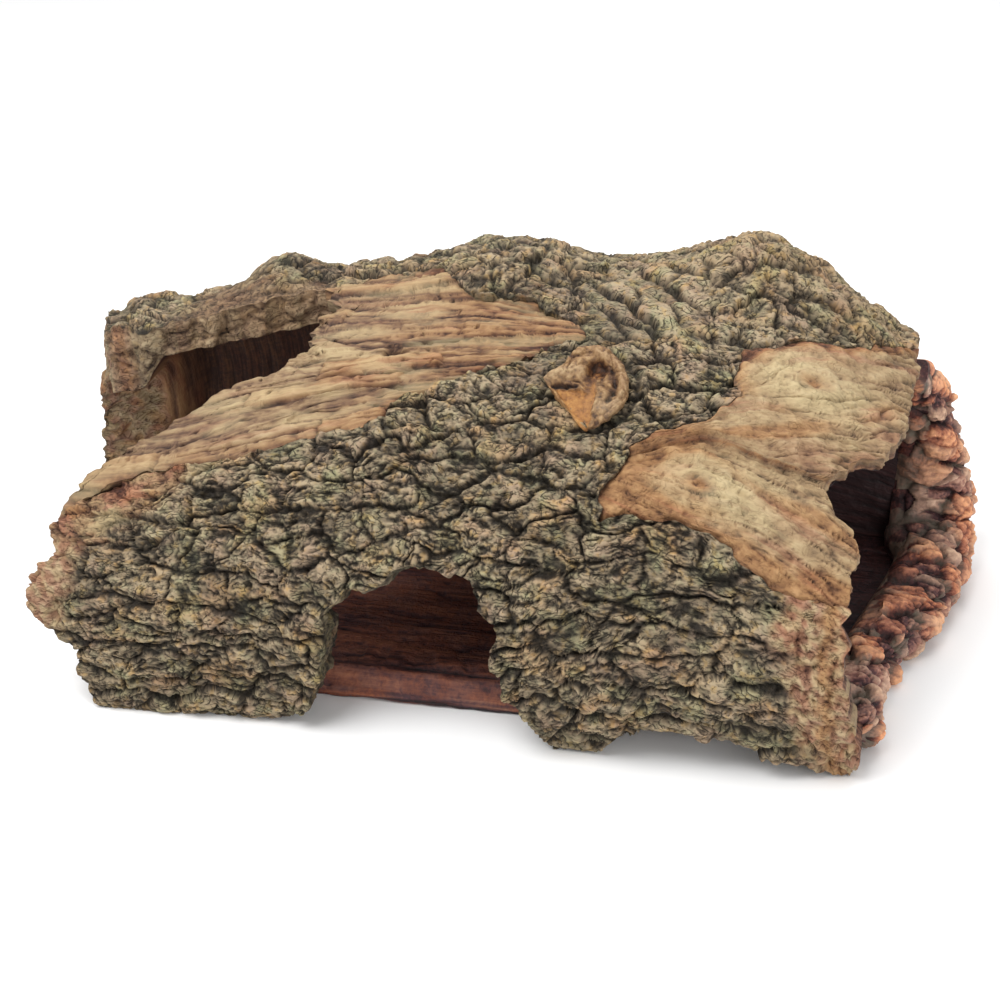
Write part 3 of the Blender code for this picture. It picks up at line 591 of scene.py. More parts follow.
def rim_left_dress(x, v):
    """Weathered post and beam: long grain on the beam, lumps of bark on the post and ridge."""
    weathered, top = grain(x, v, 401, 0.9)
    wander = 7 * noise2(x / 9, v / 7, 402)
    share = rise(190, 168, v + wander) * rise(-118, -98, x + wander) * 0.8
    share = share * (1 - rise(-98, -80, x + wander) * rise(162, 174, v - wander))
    return blend(bark(x, v), painted(weathered, top * 0.8, x, v, 0.15, 0.2, 0.3, 0.75), share)


def post_lining(x, v):
    """Inner face of the post and the beam: lumps, then streaks up and down, then painted shade that darkens
    it towards the inside.
    """
    rib = noise2(x / 2.0, v / 30, 421)
    streaks = painted(0.6 * rib + 0.6 * noise2(x / 6, v / 40, 422), 0.5 + 0.45 * rib, v, x,
                      0.6 + 0.4 * rib, 0.0, 0.5, 1.0)
    h, top = knobs(x, v, 431, 9.0, 11.0)
    lumps = painted(-h, top + 0.08, v, x, rise(0, 0.5, noise2(x / 6, v / 8, 441)), 0.0,
                    rise(0, 0.4, noise2(x / 5, v / 7, 442)), 0.55)
    edge = x + 1.6 * noise2(x / 5, v / 9, 423)
    made = blend(streaks, lumps, rise(-125, -129, edge) * 0.9)
    # painted shade: the paint gets darker deeper inside the post, where shade falls
    made["top"] = np.clip(made["top"] * (0.15 + 0.85 * rise(-115, -122.5, edge)), 0, 1)
    made["warm"] = np.clip(made["warm"], 0, 1)
    return made


def teeth(grid, reach, seed):
    """Splintered first column: strips of the grain that stop at different places."""
    out = grid.copy()
    x, v = grid[..., 0], grid[..., 1]
    away = np.linalg.norm(grid - grid[:, :1], axis=-1)
    strips = noise2(v[:, :1] / 4.2, 0 * v[:, :1], seed)
    points = np.abs(noise2(v[:, :1] / 1.9, 0 * v[:, :1], seed + 1))
    pull = reach * (0.9 * np.sign(strips) * np.sqrt(np.abs(strips)) - 1.1 * points)
    out[..., 0] = x + pull * np.exp(-away / 9) * rise(72, 88, v)
    return out


# ---------------------------------------------------------------- building pieces
MASKS = ("top", "warm", "pale", "violet", "wood")
COARSE = 4
# a number past that of every face
NO_FACE = 1 << 30


def through(a, b, c, d, t):
    """Smooth line from b to c with a before them and d after them; t goes from 0 to 1."""
    bend = 2 * b + (c - a) * t + (2 * a - 5 * b + 4 * c - d) * t * t
    return (bend + (3 * b - 3 * c + d - a) * t ** 3) / 2


def curve(points, count):
    """Evenly spaced points along the given ones, halfway between a smooth line and a straight one."""
    p = np.array(points, float)
    ends = np.vstack([2 * p[0] - p[1], p, 2 * p[-1] - p[-2]])
    t = np.linspace(0, 1, 24, endpoint=False)[:, None]
    parts = [0.5 * through(a, b, c, d, t) + 0.5 * (b + (c - b) * t)
             for a, b, c, d in zip(ends, ends[1:], ends[2:], ends[3:])]
    line = np.vstack(parts + [p[-1:]])
    walk = walked(line)
    at = np.linspace(0, walk[-1], count + 1)
    return np.stack([np.interp(at, walk, line[:, k]) for k in (0, 1)], -1)


def fill(bottom, right, top, left):
    """Grid of places between four edges; rows go up, columns go across."""
    s = np.linspace(0, 1, len(bottom))[None, :, None]
    t = np.linspace(0, 1, len(left))[:, None, None]
    ruled = bottom[None] * (1 - t) + top[None] * t + left[:, None] * (1 - s) + right[:, None] * s
    corners = (bottom[0] * (1 - s) + bottom[-1] * s) * (1 - t) + (top[0] * (1 - s) + top[-1] * s) * t
    return ruled - corners


def ragged(place):
    """The same small wander for every piece, so that neighbours still meet."""
    x, v = place[..., 0], place[..., 1]
    hold = rise(0, 7, v) * rise(REAR_FOOT_GIRTH, REAR_FOOT_GIRTH - 7, v)
    off_post = rise(-119, -100, x)
    hold = hold * (1 - rise(94, 108, x) * rise(140, 165, v))
    hold = hold * (0.3 + 0.7 * off_post * rise(110, 140, v) + 0.7 * off_post * rise(140, 110, v))
    dx = 2.1 * noise2(x / 8, v / 8, 501) + 0.9 * noise2(x / 3.1, v / 3.1, 502)
    dv = 1.9 * noise2(x / 8, v / 8, 503) + 0.8 * noise2(x / 3.1, v / 3.1, 504)
    return np.stack([x + dx * hold, v + dv * hold], -1)


def perimeter(rows, columns):
    """Indices round the edge of a grid, anticlockwise, and which side each is on."""
    index = np.arange(rows * columns).reshape(rows, columns)
    loop = np.concatenate([index[0, :-1], index[:-1, -1], index[-1, :0:-1], index[:0:-1, 0]])
    return loop, np.repeat((0, 1, 2, 3), (columns - 1, rows - 1, columns - 1, rows - 1))


def sheet_quads(rows, columns):
    """Faces of a grid of points."""
    index = np.arange(rows * columns).reshape(rows, columns)
    return np.stack([index[:-1, :-1], index[:-1, 1:], index[1:, 1:], index[1:, :-1]], -1).reshape(-1, 4)


def wall_quads(loop, start, layers):
    """Faces from a loop down through rings of points numbered from start, and the last ring."""
    quads, above = [], loop
    for k in range(layers):
        below = start + k * len(loop) + np.arange(len(loop))
        quads.append(np.stack([above, below, np.roll(below, -1), np.roll(above, -1)], -1))
        above = below
    return np.concatenate(quads), above


def vertices(points, skin, grain_at, masks):
    """Points, the places that their paint is made from, and their paint masks."""
    vectors = dict(points=points, skin=skin, grain=grain_at)
    made = {key: value.reshape(-1, 3) for key, value in vectors.items()}
    return dict(made, **{key: masks[key].ravel() for key in MASKS})


def joined(layers):
    """Several sets of vertices as one."""
    return {key: np.concatenate([layer[key] for layer in layers]) for key in layers[0]}


def put(name, data, position=(0, 0, 0)):
    """Object in the scene."""
    made = bpy.data.objects.new(name, data)
    made.location = position
    bpy.context.scene.collection.objects.link(made)
    return made


def add_attribute(mesh, key, value):
    """A number or a vector for each point of the mesh."""
    kind, field = ("FLOAT_VECTOR", "vector") if value.ndim == 2 else ("FLOAT", "value")
    mesh.attributes.new(key, kind, "POINT").data.foreach_set(field, value.astype(np.float32).ravel())


def mark_sharp(mesh, creased):
    """Sharp edges between neighbouring points of a loop."""
    ends = np.empty(2 * len(mesh.edges), np.int32)
    mesh.edges.foreach_get("vertices", ends)
    on_loop = np.zeros(len(mesh.vertices), bool)
    on_loop[creased] = True
    sharp = mesh.attributes.new("sharp_edge", "BOOLEAN", "EDGE")
    sharp.data.foreach_set("value", on_loop[ends.reshape(-1, 2)].all(1))


def mesh_object(name, made, quads, others, inner_from=NO_FACE, creased=()):
    """Object from vertices, quads and larger faces; from inner_from on they take the second material."""
    mesh = bpy.data.meshes.new(name)
    corner = np.concatenate([quads.ravel(), np.array([i for face in others for i in face], int)])
    sizes = np.concatenate([np.full(len(quads), 4), np.array([len(face) for face in others], int)])
    mesh.vertices.add(len(made["points"]))
    mesh.vertices.foreach_set("co", made["points"].astype(np.float32).ravel())
    mesh.loops.add(len(corner))
    mesh.loops.foreach_set("vertex_index", corner.astype(np.int32))
    mesh.polygons.add(len(sizes))
    starts = np.concatenate([[0], np.cumsum(sizes)[:-1]]).astype(np.int32)
    mesh.polygons.foreach_set("loop_start", starts)
    slots = (np.arange(len(sizes)) >= inner_from).astype(np.int32)
    mesh.polygons.foreach_set("material_index", slots)
    mesh.update(calc_edges=True)
    mesh.validate()
    for key in MASKS + ("skin", "grain"):
        add_attribute(mesh, key, made[key])
    mesh.shade_smooth()
    if len(creased):
        mark_sharp(mesh, creased)
    return put(name, mesh)


def mounded(x, v):
    """The log with its mounds but no relief, in metres."""
    feet = rise(-6, 5, v) * rise(REAR_FOOT_GIRTH + 6, REAR_FOOT_GIRTH - 5, v)
    return surface(x, v, -(mounds(x, v) + 0.6) * feet), feet


def carved(x, v, h):
    """Outer skin, with relief laid on the mounded log, and its height in mm over the plain log."""
    base, feet = mounded(x, v)
    step = 0.6
    low, high = np.maximum(v - step, 0), np.minimum(v + step, REAR_FOOT_GIRTH)
    along = mounded(x + step, v)[0] - mounded(x - step, v)[0]
    normal = unit(np.cross(along, mounded(x, high)[0] - mounded(x, low)[0]))
    radial = surface(x, v, np.full_like(x, -1.0)) - surface(x, v, np.zeros_like(x))
    normal = normal * np.where((normal * radial).sum(-1, keepdims=True) < 0, -1, 1)
    return base + normal * (h * feet * MM)[..., None], (mounds(x, v) + 0.6 + h) * feet


def seam_shade(made, place, seams):
    """Darker, redder and a little sunk beside the seams with another surface."""
    sides = (place[:1], place[:, -1:], place[-1:], place[:, :1])
    for side, strength in zip(sides, seams):
        if strength:
            away = np.linalg.norm(place - side, axis=-1)
            made["h"] = made["h"] - 0.8 * strength * bell(away, 1.1)
            made["top"] = np.clip(made["top"] * (1 - 0.65 * strength * bell(away, 1.0)), 0, 1)
            made["warm"] = np.maximum(made["warm"], strength * bell(away, 5.5))
    return made


def worn_edge(around, depth, t, raw, wood):
    """A broken edge at a share t of its depth: how far it swells, how exposed it is, and its wood mask."""
    swell = noise2(around / 4.5, depth / 2.6, 601) + 0.6 * noise2(around / 1.8, depth / 1.2, 602)
    layered = noise2(around / 14, depth / 1.3, 603)
    top = 0.5 + 0.45 * layered + 0.3 * swell - 0.3 * t
    return swell, top, np.maximum(wood, np.where(raw, 0.8 * min(1, t * 3), 0))


def knobby_edge(around, depth, _t, _raw, wood):
    """The same for an edge of rounded lumps."""
    swell, lit = knobs(around, depth, 611, 10.0, 6.5)
    return swell, lit * 1.1 + 0.1 * noise2(around / 14, depth / 1.3, 603), 0.45 + 0.3 * wood


def edge_rings(rim, height, wall, push, raw, layers, edge):
    """Rings of vertices down through a broken edge, from the outer skin to the inner one."""
    x, v = rim["skin"][:, 0], rim["skin"][:, 1]
    leaned = rim["points"] - surface(x, v, -height)
    line = rim["skin"][:, :2]
    ahead = np.roll(line, -1, 0) - np.roll(line, 1, 0)
    length = np.maximum(np.linalg.norm(ahead, axis=1), 1e-6)
    out = np.stack([ahead[:, 1], -ahead[:, 0]], -1) / length[:, None]
    around = walked(line)
    rings = []
    for k in range(1, layers + 1):
        t = k / layers
        depth = -height * (1 - t) + wall * t
        swell, top, wood = edge(around, depth, t, raw, rim["wood"])
        shift = push * (swell * 0.9 - 0.4 * t) * min(1.0, 4 * t * (1.25 - t))
        ex, ev = x + out[:, 0] * shift, np.maximum(v + out[:, 1] * shift, 0)
        rings.append(vertices(
            surface(ex, ev, depth) + leaned * (1 - t), np.stack([ex, ev, depth], -1),
            np.stack([around * 0.4, depth, 0 * x], -1), dict(rim, top=np.clip(top, 0, 1), wood=wood)))
    return rings


def shell(name, grid, dress, end_rim=False, thin=None, rough=(0, 0, 0, 0), seams=(0, 0, 0, 0), jambs=False,
          layers=8, coarse=COARSE, lining=None, edge=worn_edge):
    """Solid piece of the log's wall: carved outer skin, broken edges and inner skin.

    rough (mm) and seams (shares) are for the grid's first row, last column, last row and first column.
    With jambs, the first row keeps its paint.
    """
    place = ragged(grid)
    x, v = place[..., 0], place[..., 1]
    made = seam_shade(dress(x, v), place, seams)
    outer, height = carved(x, v, made["h"])
    grain_at = np.stack([made["s"], made["g"], 0 * x], -1)
    skin = vertices(outer, np.stack([x, v, 0 * x], -1), grain_at, made)

    def thickness(x, v):
        return wall_thickness(x, v, end_rim) * (thin(x, v) if thin else 1)

    loop, side = perimeter(*x.shape)
    rim = {key: value[loop] for key, value in skin.items()}
    push = np.array(rough, float)[side]
    raw = (push > 0.5) & ~(jambs & (side == 0))
    wall = thickness(rim["skin"][:, 0], rim["skin"][:, 1])
    rings = edge_rings(rim, height.ravel()[loop], wall, push, raw, layers, edge)
    walls, last = wall_quads(loop, x.size, layers)
    quads = np.concatenate([sheet_quads(*x.shape), walls])
    spots = place[coarse:-1:coarse, coarse:-1:coarse]
    inner = inner_skin(spots.reshape(-1, 2), thickness, lining or bare_lining)
    faces = inner_faces(last, last[-1] + 1, spots.shape[0] + 1, spots.shape[1] + 1, coarse)
    solid = joined([skin] + rings + [inner])
    solid["points"][:, 2] = np.maximum(solid["points"][:, 2], 0)
    return mesh_object(name, solid, quads, faces, NO_FACE if lining else len(quads), loop)


def bare_lining(x, v):
    """Inner face of the wall: gentle swells, painted dark by its own material."""
    swell = 0.9 * noise2(x / 16, v / 3.5, 701) + 0.5 * noise2(x / 5, v / 5, 702)
    return painted(swell, 0.4, x, v, 0.4, 0.4, 0.4, 0.4)


def inner_skin(spots, thickness, lining):
    """Vertices of the inner skin under the given places."""
    x, v = spots[:, 0], spots[:, 1]
    lined = lining(x, v)
    deep = np.full(len(x), 9.0)
    return vertices(surface(x, v, thickness(x, v) + lined["h"]), np.stack([x, v, deep], -1),
                    np.stack([lined["s"], lined["g"], deep], -1), lined)


def inner_faces(edge, base, up, across, coarse):
    """Coarse faces inside, their points numbered from base, that take in every point of the fine edge."""
    wide, tall = across * coarse, up * coarse

    def rim_point(j, i):
        """Point of the edge at a fine row and column of the border."""
        if j == 0:
            at = i
        elif i == wide:
            at = wide + j
        elif j == tall:
            at = 2 * wide + tall - i
        else:
            at = 2 * (wide + tall) - j
        return int(edge[at % len(edge)])

    def side(j0, i0, j1, i1):
        """First corner of a side of a face, then the fine points along it if it lies on the border."""
        if 0 < j0 < up and 0 < i0 < across:
            return [int(base) + (j0 - 1) * (across - 1) + i0 - 1]
        on_border = (j0 == j1 and j0 in (0, up)) or (i0 == i1 and i0 in (0, across))
        steps = range(coarse) if on_border else (0,)
        return [rim_point(j0 * coarse + k * (j1 - j0), i0 * coarse + k * (i1 - i0)) for k in steps]

    faces = []
    for j, i in product(range(up), range(across)):
        ring = ((j, i), (j + 1, i), (j + 1, i + 1), (j, i + 1))
        faces.append([p for a, b in zip(ring, ring[1:] + ring[:1]) for p in side(*a, *b)])
    return faces


def cut(span, pitch):
    """Number of grid steps over a span, a whole number of coarse steps."""
    return COARSE * max(2, round(span / (pitch / QUALITY) / COARSE))


# ---------------------------------------------------------------- materials
SHEEN = 0.35


def new_material(name):
    """Material with nodes, and its node tree."""
    material = bpy.data.materials.new(name)
    material.use_nodes = True
    return material, material.node_tree


def node(tree, kind, inputs, **settings):
    """Outputs of a new node, with its inputs linked to sockets or set to values."""
    made = tree.nodes.new(kind)
    for key, value in settings.items():
        setattr(made, key, value)
    for key, value in inputs.items():
        socket = made.inputs[key]
        if isinstance(value, bpy.types.NodeSocket):
            tree.links.new(value, socket)
        else:
            socket.default_value = value
    return made.outputs


def attribute(tree, name, output="Fac"):
    return node(tree, "ShaderNodeAttribute", {}, attribute_name=name)[output]


def mix(tree, share, a, b, blend_type="MIX"):
    inputs = {0: share, 6: a, 7: b}
    return node(tree, "ShaderNodeMix", inputs, data_type="RGBA", blend_type=blend_type)[2]


def tint(tree, colour, share, rgb):
    """Colour multiplied by rgb, as far as share says."""
    return mix(tree, share, colour, mix(tree, 1.0, colour, (*rgb, 1), "MULTIPLY"))


def maths(tree, operation, a, b=0.0, clamp=False):
    return node(tree, "ShaderNodeMath", {0: a, 1: b}, operation=operation, use_clamp=clamp)[0]


def times(tree, a, b):
    return maths(tree, "MULTIPLY", a, b)


def plus(tree, a, b, clamp=False):
    return maths(tree, "ADD", a, b, clamp)


def swing(tree, value, gain, middle=0.5):
    """How far a value is from its middle, times a gain."""
    return times(tree, maths(tree, "SUBTRACT", value, middle), gain)


def masked(tree, name, share):
    """A paint mask times a share."""
    return times(tree, attribute(tree, name), share)


def scaled(tree, vector, scale):
    return node(tree, "ShaderNodeVectorMath", {0: vector, 1: scale}, operation="MULTIPLY")[0]


def noise(tree, vector, scale, detail=3.0, roughness=0.55, output="Fac"):
    inputs = {"Vector": vector, "Scale": scale, "Detail": detail, "Roughness": roughness}
    return node(tree, "ShaderNodeTexNoise", inputs)[output]


def ranged(tree, value, low, high, to_low=0.0, to_high=1.0):
    """Smooth step from to_low at low to to_high at high."""
    inputs = {"Value": value, "From Min": low, "From Max": high, "To Min": to_low, "To Max": to_high}
    return node(tree, "ShaderNodeMapRange", inputs, interpolation_type="SMOOTHSTEP")[0]


def ramp(tree, value, stops):
    """Colour between stops, each a position and its red, green and blue."""
    made = tree.nodes.new("ShaderNodeValToRGB")
    tree.links.new(value, made.inputs["Fac"])
    band = made.color_ramp
    while len(band.elements) < len(stops):
        band.elements.new(0.5)
    for element, (position, *colour) in zip(band.elements, stops):
        element.position = position
        element.color = (*colour, 1)
    return made.outputs["Color"]


def finish_shader(tree, colour, height, roughness, distance, strength=1.0):
    """Colour, roughness and bump joined to the shader, with a dull sheen."""
    shader = tree.nodes["Principled BSDF"]
    bump = node(tree, "ShaderNodeBump", {"Height": height, "Distance": distance, "Strength": strength})
    for name, value in (("Base Color", colour), ("Roughness", roughness), ("Normal", bump[0])):
        tree.links.new(value, shader.inputs[name])
    shader.inputs["Specular IOR Level"].default_value = SHEEN


def bark_chips(tree, skin):
    """Thin dark lines nested round chips of bark, in patches."""
    bent = mix(tree, 1.6, skin, noise(tree, skin, 0.5, 3.0, 0.5, "Color"), "LINEAR_LIGHT")
    inputs = {"Vector": scaled(tree, bent, (0.10, 0.19, 0.19)), "Scale": 1.0}
    chips = node(tree, "ShaderNodeTexVoronoi", inputs, feature="DISTANCE_TO_EDGE")["Distance"]
    line = ranged(tree, maths(tree, "PINGPONG", chips, 0.085), 0.0, 0.03, 1.0, 0.0)
    return times(tree, line, ranged(tree, noise(tree, skin, 0.22), 0.46, 0.54))


def bark_paint(tree, skin, top, speck, dash, chip_line):
    """Khaki on the tops over a dark wash, with patches of green, ochre, grey, orange and mauve."""
    exposed = plus(tree, top, swing(tree, speck, 0.8), True)
    exposed = times(tree, exposed, ranged(tree, dash, 0.0, 1.0, 0.5, 1.0))
    exposed = times(tree, exposed, ranged(tree, chip_line, 0.0, 1.0, 1.0, 0.4))
    colour = ramp(tree, exposed, (
        (0.0, 0.018, 0.013, 0.008), (0.25, 0.060, 0.045, 0.029), (0.5, 0.140, 0.106, 0.067),
        (0.75, 0.235, 0.180, 0.112), (1.0, 0.35, 0.272, 0.170)))
    broad = ranged(tree, noise(tree, skin, 0.11, 2.0), 0.46, 0.66, 0.0, 0.7)
    patch = noise(tree, skin, 0.34, 2.0)
    for share, rgb in (
            (broad, (0.84, 1.0, 0.86)),
            (ranged(tree, patch, 0.54, 0.64), (1.10, 1.0, 0.78)),
            (ranged(tree, patch, 0.46, 0.36), (0.90, 0.97, 0.96)),
            (masked(tree, "warm", 0.5), (1.18, 0.93, 0.70)),
            (masked(tree, "violet", 0.5), (0.84, 0.70, 0.78))):
        colour = tint(tree, colour, share, rgb)
    return colour


def wood_paint(tree, top, speck, dash, fibre, streak, peeled):
    """Tan wood with streaks along the grain; raw wood is speckled instead of streaked."""
    streaked = swing(tree, fibre, ranged(tree, peeled, 0.0, 1.0, 0.1, 0.62))
    speckled = swing(tree, speck, ranged(tree, peeled, 0.0, 1.0, 1.0, 0.42))
    scored = swing(tree, dash, ranged(tree, peeled, 0.0, 1.0, 0.30, 0.05), 1.0)
    face = plus(tree, top, plus(tree, streaked, plus(tree, speckled, scored)), True)
    colour = ramp(tree, face, (
        (0.0, 0.035, 0.018, 0.014), (0.3, 0.14, 0.080, 0.048), (0.55, 0.255, 0.165, 0.090),
        (0.8, 0.335, 0.238, 0.132), (1.0, 0.40, 0.305, 0.18)))
    colour = tint(tree, colour, masked(tree, "warm", 0.8), (1.0, 0.68, 0.46))
    raw = maths(tree, "SUBTRACT", 1.0, peeled)
    light_streak = maths(tree, "MAXIMUM", ranged(tree, streak, 0.34, 0.54), raw)
    pink_streak = maths(tree, "MAXIMUM", ranged(tree, streak, 0.56, 0.44), raw)
    cream = mix(tree, 0.6, colour, (0.51, 0.41, 0.225, 1))
    colour = mix(tree, masked(tree, "pale", light_streak), colour, cream)
    return tint(tree, colour, masked(tree, "violet", pink_streak), (0.88, 0.62, 0.68))


def log_material():
    """Painted resin: bark over a dark wash, or peeled wood with coloured grain, as the masks say."""
    material, tree = new_material("painted_log")
    skin, along = attribute(tree, "skin", "Vector"), attribute(tree, "grain", "Vector")
    top, wood = attribute(tree, "top"), attribute(tree, "wood")
    speck = noise(tree, scaled(tree, skin, (1.0, 1.25, 1.0)), 0.62, 4.0, 0.6)
    thread = noise(tree, scaled(tree, skin, (0.55, 1.0, 1.0)), 0.75, 2.0, 0.4)
    scratch = ranged(tree, maths(tree, "ABSOLUTE", maths(tree, "SUBTRACT", thread, 0.5)), 0.0, 0.035)
    dash = maths(tree, "MAXIMUM", scratch, ranged(tree, speck, 0.46, 0.54))
    fibre = noise(tree, scaled(tree, along, (0.05, 1.0, 1.0)), 1.3, 4.0, 0.65)
    streak = noise(tree, scaled(tree, along, (0.03, 0.25, 0.3)), 1.0, 3.0, 0.6)
    peeled = ranged(tree, wood, 0.88, 0.98)
    chip_line = bark_chips(tree, skin)
    colour = mix(tree, wood, bark_paint(tree, skin, top, speck, dash, chip_line),
                 wood_paint(tree, top, speck, dash, fibre, streak, peeled))
    low = maths(tree, "SUBTRACT", times(tree, dash, 0.6), times(tree, chip_line, 1.1))
    bark_height = plus(tree, low, times(tree, speck, 0.7))
    height = node(tree, "ShaderNodeMix", {0: peeled, 2: bark_height, 3: fibre}, data_type="FLOAT")[0]
    finish_shader(tree, colour, height, ranged(tree, speck, 0.3, 0.7, 0.72, 0.86), 0.0006, 0.8)
    return material


def inside_material():
    """Dark red-brown wash on the inside of the log, streaked along it, with painted shade darkening it
    towards the right end.
    """
    material, tree = new_material("painted_inside")
    skin = attribute(tree, "skin", "Vector")
    streak = noise(tree, scaled(tree, skin, (0.05, 0.5, 0.5)), 1.0, 4.0, 0.6)
    spot = noise(tree, skin, 0.35)
    colour = ramp(tree, streak, (
        (0.3, 0.022, 0.011, 0.012), (0.5, 0.062, 0.025, 0.026), (0.72, 0.130, 0.048, 0.044)))
    # painted shade: the inside gets darker towards the right end, where shade falls
    along = node(tree, "ShaderNodeSeparateXYZ", {"Vector": skin})["X"]
    colour = tint(tree, colour, ranged(tree, along, 45.0, 80.0), (0.44, 0.40, 0.40))
    finish_shader(tree, colour, plus(tree, streak, spot), ranged(tree, spot, 0.3, 0.7, 0.6, 0.8), 0.0008)
    return material


# ---------------------------------------------------------------- the pieces
# mm between points of the outer skins
FINE, FRONT, CLIMB, REAR, POST = 0.43, 0.62, 0.56, 0.66, 0.7
REAR_FOOT = ((-60, REAR_FOOT_GIRTH), (113, REAR_FOOT_GIRTH))


def hole_thinning(x, v):
    """Wall thinned towards the roof hole."""
    return 0.42 + 0.58 * rise(0, 26, x - line_up(v, HOLE_EDGE))


def broken_thinning(x, v):
    """Wall thinned towards the broken end of the right panel."""
    return 0.5 + 0.5 * rise(0, 22, line_up(v, BROKEN_EDGE) - x)


def front_grid():
    """Places of the front wall, from the feet and the doorway up to its upper edge."""
    contour = LEFT_END + FRONT_LEFT[1:] + FRONT_MIDDLE[1:] + FRONT_RIGHT[1:] + RIGHT_END[-2::-1]
    contour, climb = curve(contour, cut(340, FRONT)), cut(75, CLIMB)
    return fill(curve(DOORWAY, len(contour) - 1), curve(RIGHT_FOOT, climb), contour, curve(LEFT_FOOT, climb))


def roof_grid(front, right, rear, left, length):
    """Places of a piece of the roof between its four edges."""
    along, up = cut(length, FINE), cut(78, FINE)
    return fill(curve(front, along), curve(right, up), curve(rear, along), curve(left, up))


def rear_grid():
    """Places of the rear wall, from its upper edge down to its foot."""
    sides = ((REAR_LEFT, 100), (REAR_MIDDLE, 46), (REAR_RIGHT, 72))
    upper = [curve(side, cut(length, REAR)) for side, length in sides]
    upper = np.vstack([upper[0], upper[1][1:], upper[2][1:]])
    tall = cut(140, REAR)
    return fill(upper, curve((REAR_RIGHT[-1], REAR_FOOT[1]), tall), curve(REAR_FOOT, len(upper) - 1),
                curve((REAR_LEFT[0], REAR_FOOT[0]), tall))


def post_grid():
    """Places of the post and beam at the rear left."""
    wide, tall = cut(78, POST), cut(140, POST)
    return fill(curve(HOLE_REAR, wide), curve((REAR_LEFT[0], REAR_FOOT[0]), tall),
                curve((POST_OUTER[-1], REAR_FOOT[0]), wide), curve(POST_OUTER, tall))


def build_shells():
    """Every piece of the log's wall, by the name of its solid."""
    left = teeth(roof_grid(FRONT_LEFT, CROWN_LEFT, REAR_LEFT, HOLE_EDGE, 100), 3.2, 511)
    middle = roof_grid(FRONT_MIDDLE, CROWN_RIGHT, REAR_MIDDLE, CROWN_LEFT, 70)
    right = roof_grid(FRONT_RIGHT, BROKEN_EDGE, REAR_RIGHT, CROWN_RIGHT, 78)
    return {
        "front_wall": shell("front_wall_bark", front_grid(), front_dress, rough=(1.0, 0.3, 0.0, 0.3),
                            layers=14, jambs=True),
        "left_roof_panel": shell("left_roof_wood", left, wood_left, thin=hole_thinning,
                                 rough=(0, 0, 0, 1.0), seams=(0.5, 0.9, 0.6, 0)),
        "crown_bark": shell("crown_bark_saddle", middle, crown_dress),
        "right_roof_panel": shell("right_roof_wood", right, wood_right, thin=broken_thinning,
                                  rough=(0, 1.0, 0, 0), seams=(0.7, 0, 1, 1)),
        "rear_wall": shell("rear_wall_bark", rear_grid(), rear_dress),
        "left_end_rim": shell("left_end_post", post_grid(), rim_left_dress, end_rim=True,
                              rough=(0.9, 0, 0, 1.2), layers=24, coarse=1,
                              lining=post_lining, edge=knobby_edge),
    }


# ---------------------------------------------------------------- rim, stub and floor
# middle of the rim from the ridge down and across the floor: x, y, z, half its width, half its thickness
RIM_STATIONS = np.array((
    (115.6, 66, 70, 2, 4), (116.6, 73, 64, 3.4, 6), (118.6, 79, 56, 5.6, 8), (120.6, 82, 46, 7.4, 9.5),
    (122.6, 83, 35, 9.2, 10), (124, 81, 23, 11, 10), (124.4, 74, 13.5, 11, 9.5), (124.2, 60, 8.5, 10.4, 8.5),
    (121, 42, 7.5, 10.5, 7.5), (115.5, 24, 7, 10, 7), (109.5, 6, 7, 8.5, 7), (105, -12, 7, 7.6, 7),
    (105, -31.6, 8, 7.8, 8), (104.5, -39, 7, 6.5, 7),
), float)
RIM_POWER = 2.8
RIM_INNER_X = 111.0
STUB_STANDS, STUB_DEPTH, STUB_TILT = 4.6, 7.0, math.radians(14)
# outline of the stub's face: degrees round it, mm out
STUB_OUTLINE = (
    (-187, 12.8), (-166, 10.1), (-121, 9.4), (-90, 13.3), (-52, 11.8), (-23, 11.9), (16, 10.8), (54, 12.3),
    (83, 13.0), (110, 12.6), (136, 10.0), (154, 10.2), (173, 12.8), (194, 10.1),
)
FLOOR_HEIGHT = 7.0
FLOOR_LEFT = np.array(((-106, -41), (-116, 0), (-121, 30), (-124, 61)), float)
FLOOR_RIGHT = np.array((
    (98.4, -33), (98.4, -12), (102, 6), (106.5, 24), (111.2, 42), (113.4, 60), (113.4, 72)), float)


def ring_solid(name, made, rows, columns):
    """Closed solid through rings of vertices, rows along and columns round."""
    index = np.arange(rows * columns).reshape(rows, columns)
    near = np.roll(index, -1, 1)
    quads = np.stack([index[:-1], near[:-1], near[1:], index[1:]], -1).reshape(-1, 4)
    return mesh_object(name, made, quads, [list(index[0, ::-1]), list(index[-1])])


def smooth_stations(stations, share):
    """Stations at each share of the way along, smoothly between the given ones."""
    reach = share * (len(stations) - 1)
    k = np.minimum(reach.astype(int), len(stations) - 2)
    before, after = stations[np.maximum(k - 1, 0)], stations[np.minimum(k + 2, len(stations) - 1)]
    return through(before, stations[k], stations[k + 1], after, (reach - k)[:, None])


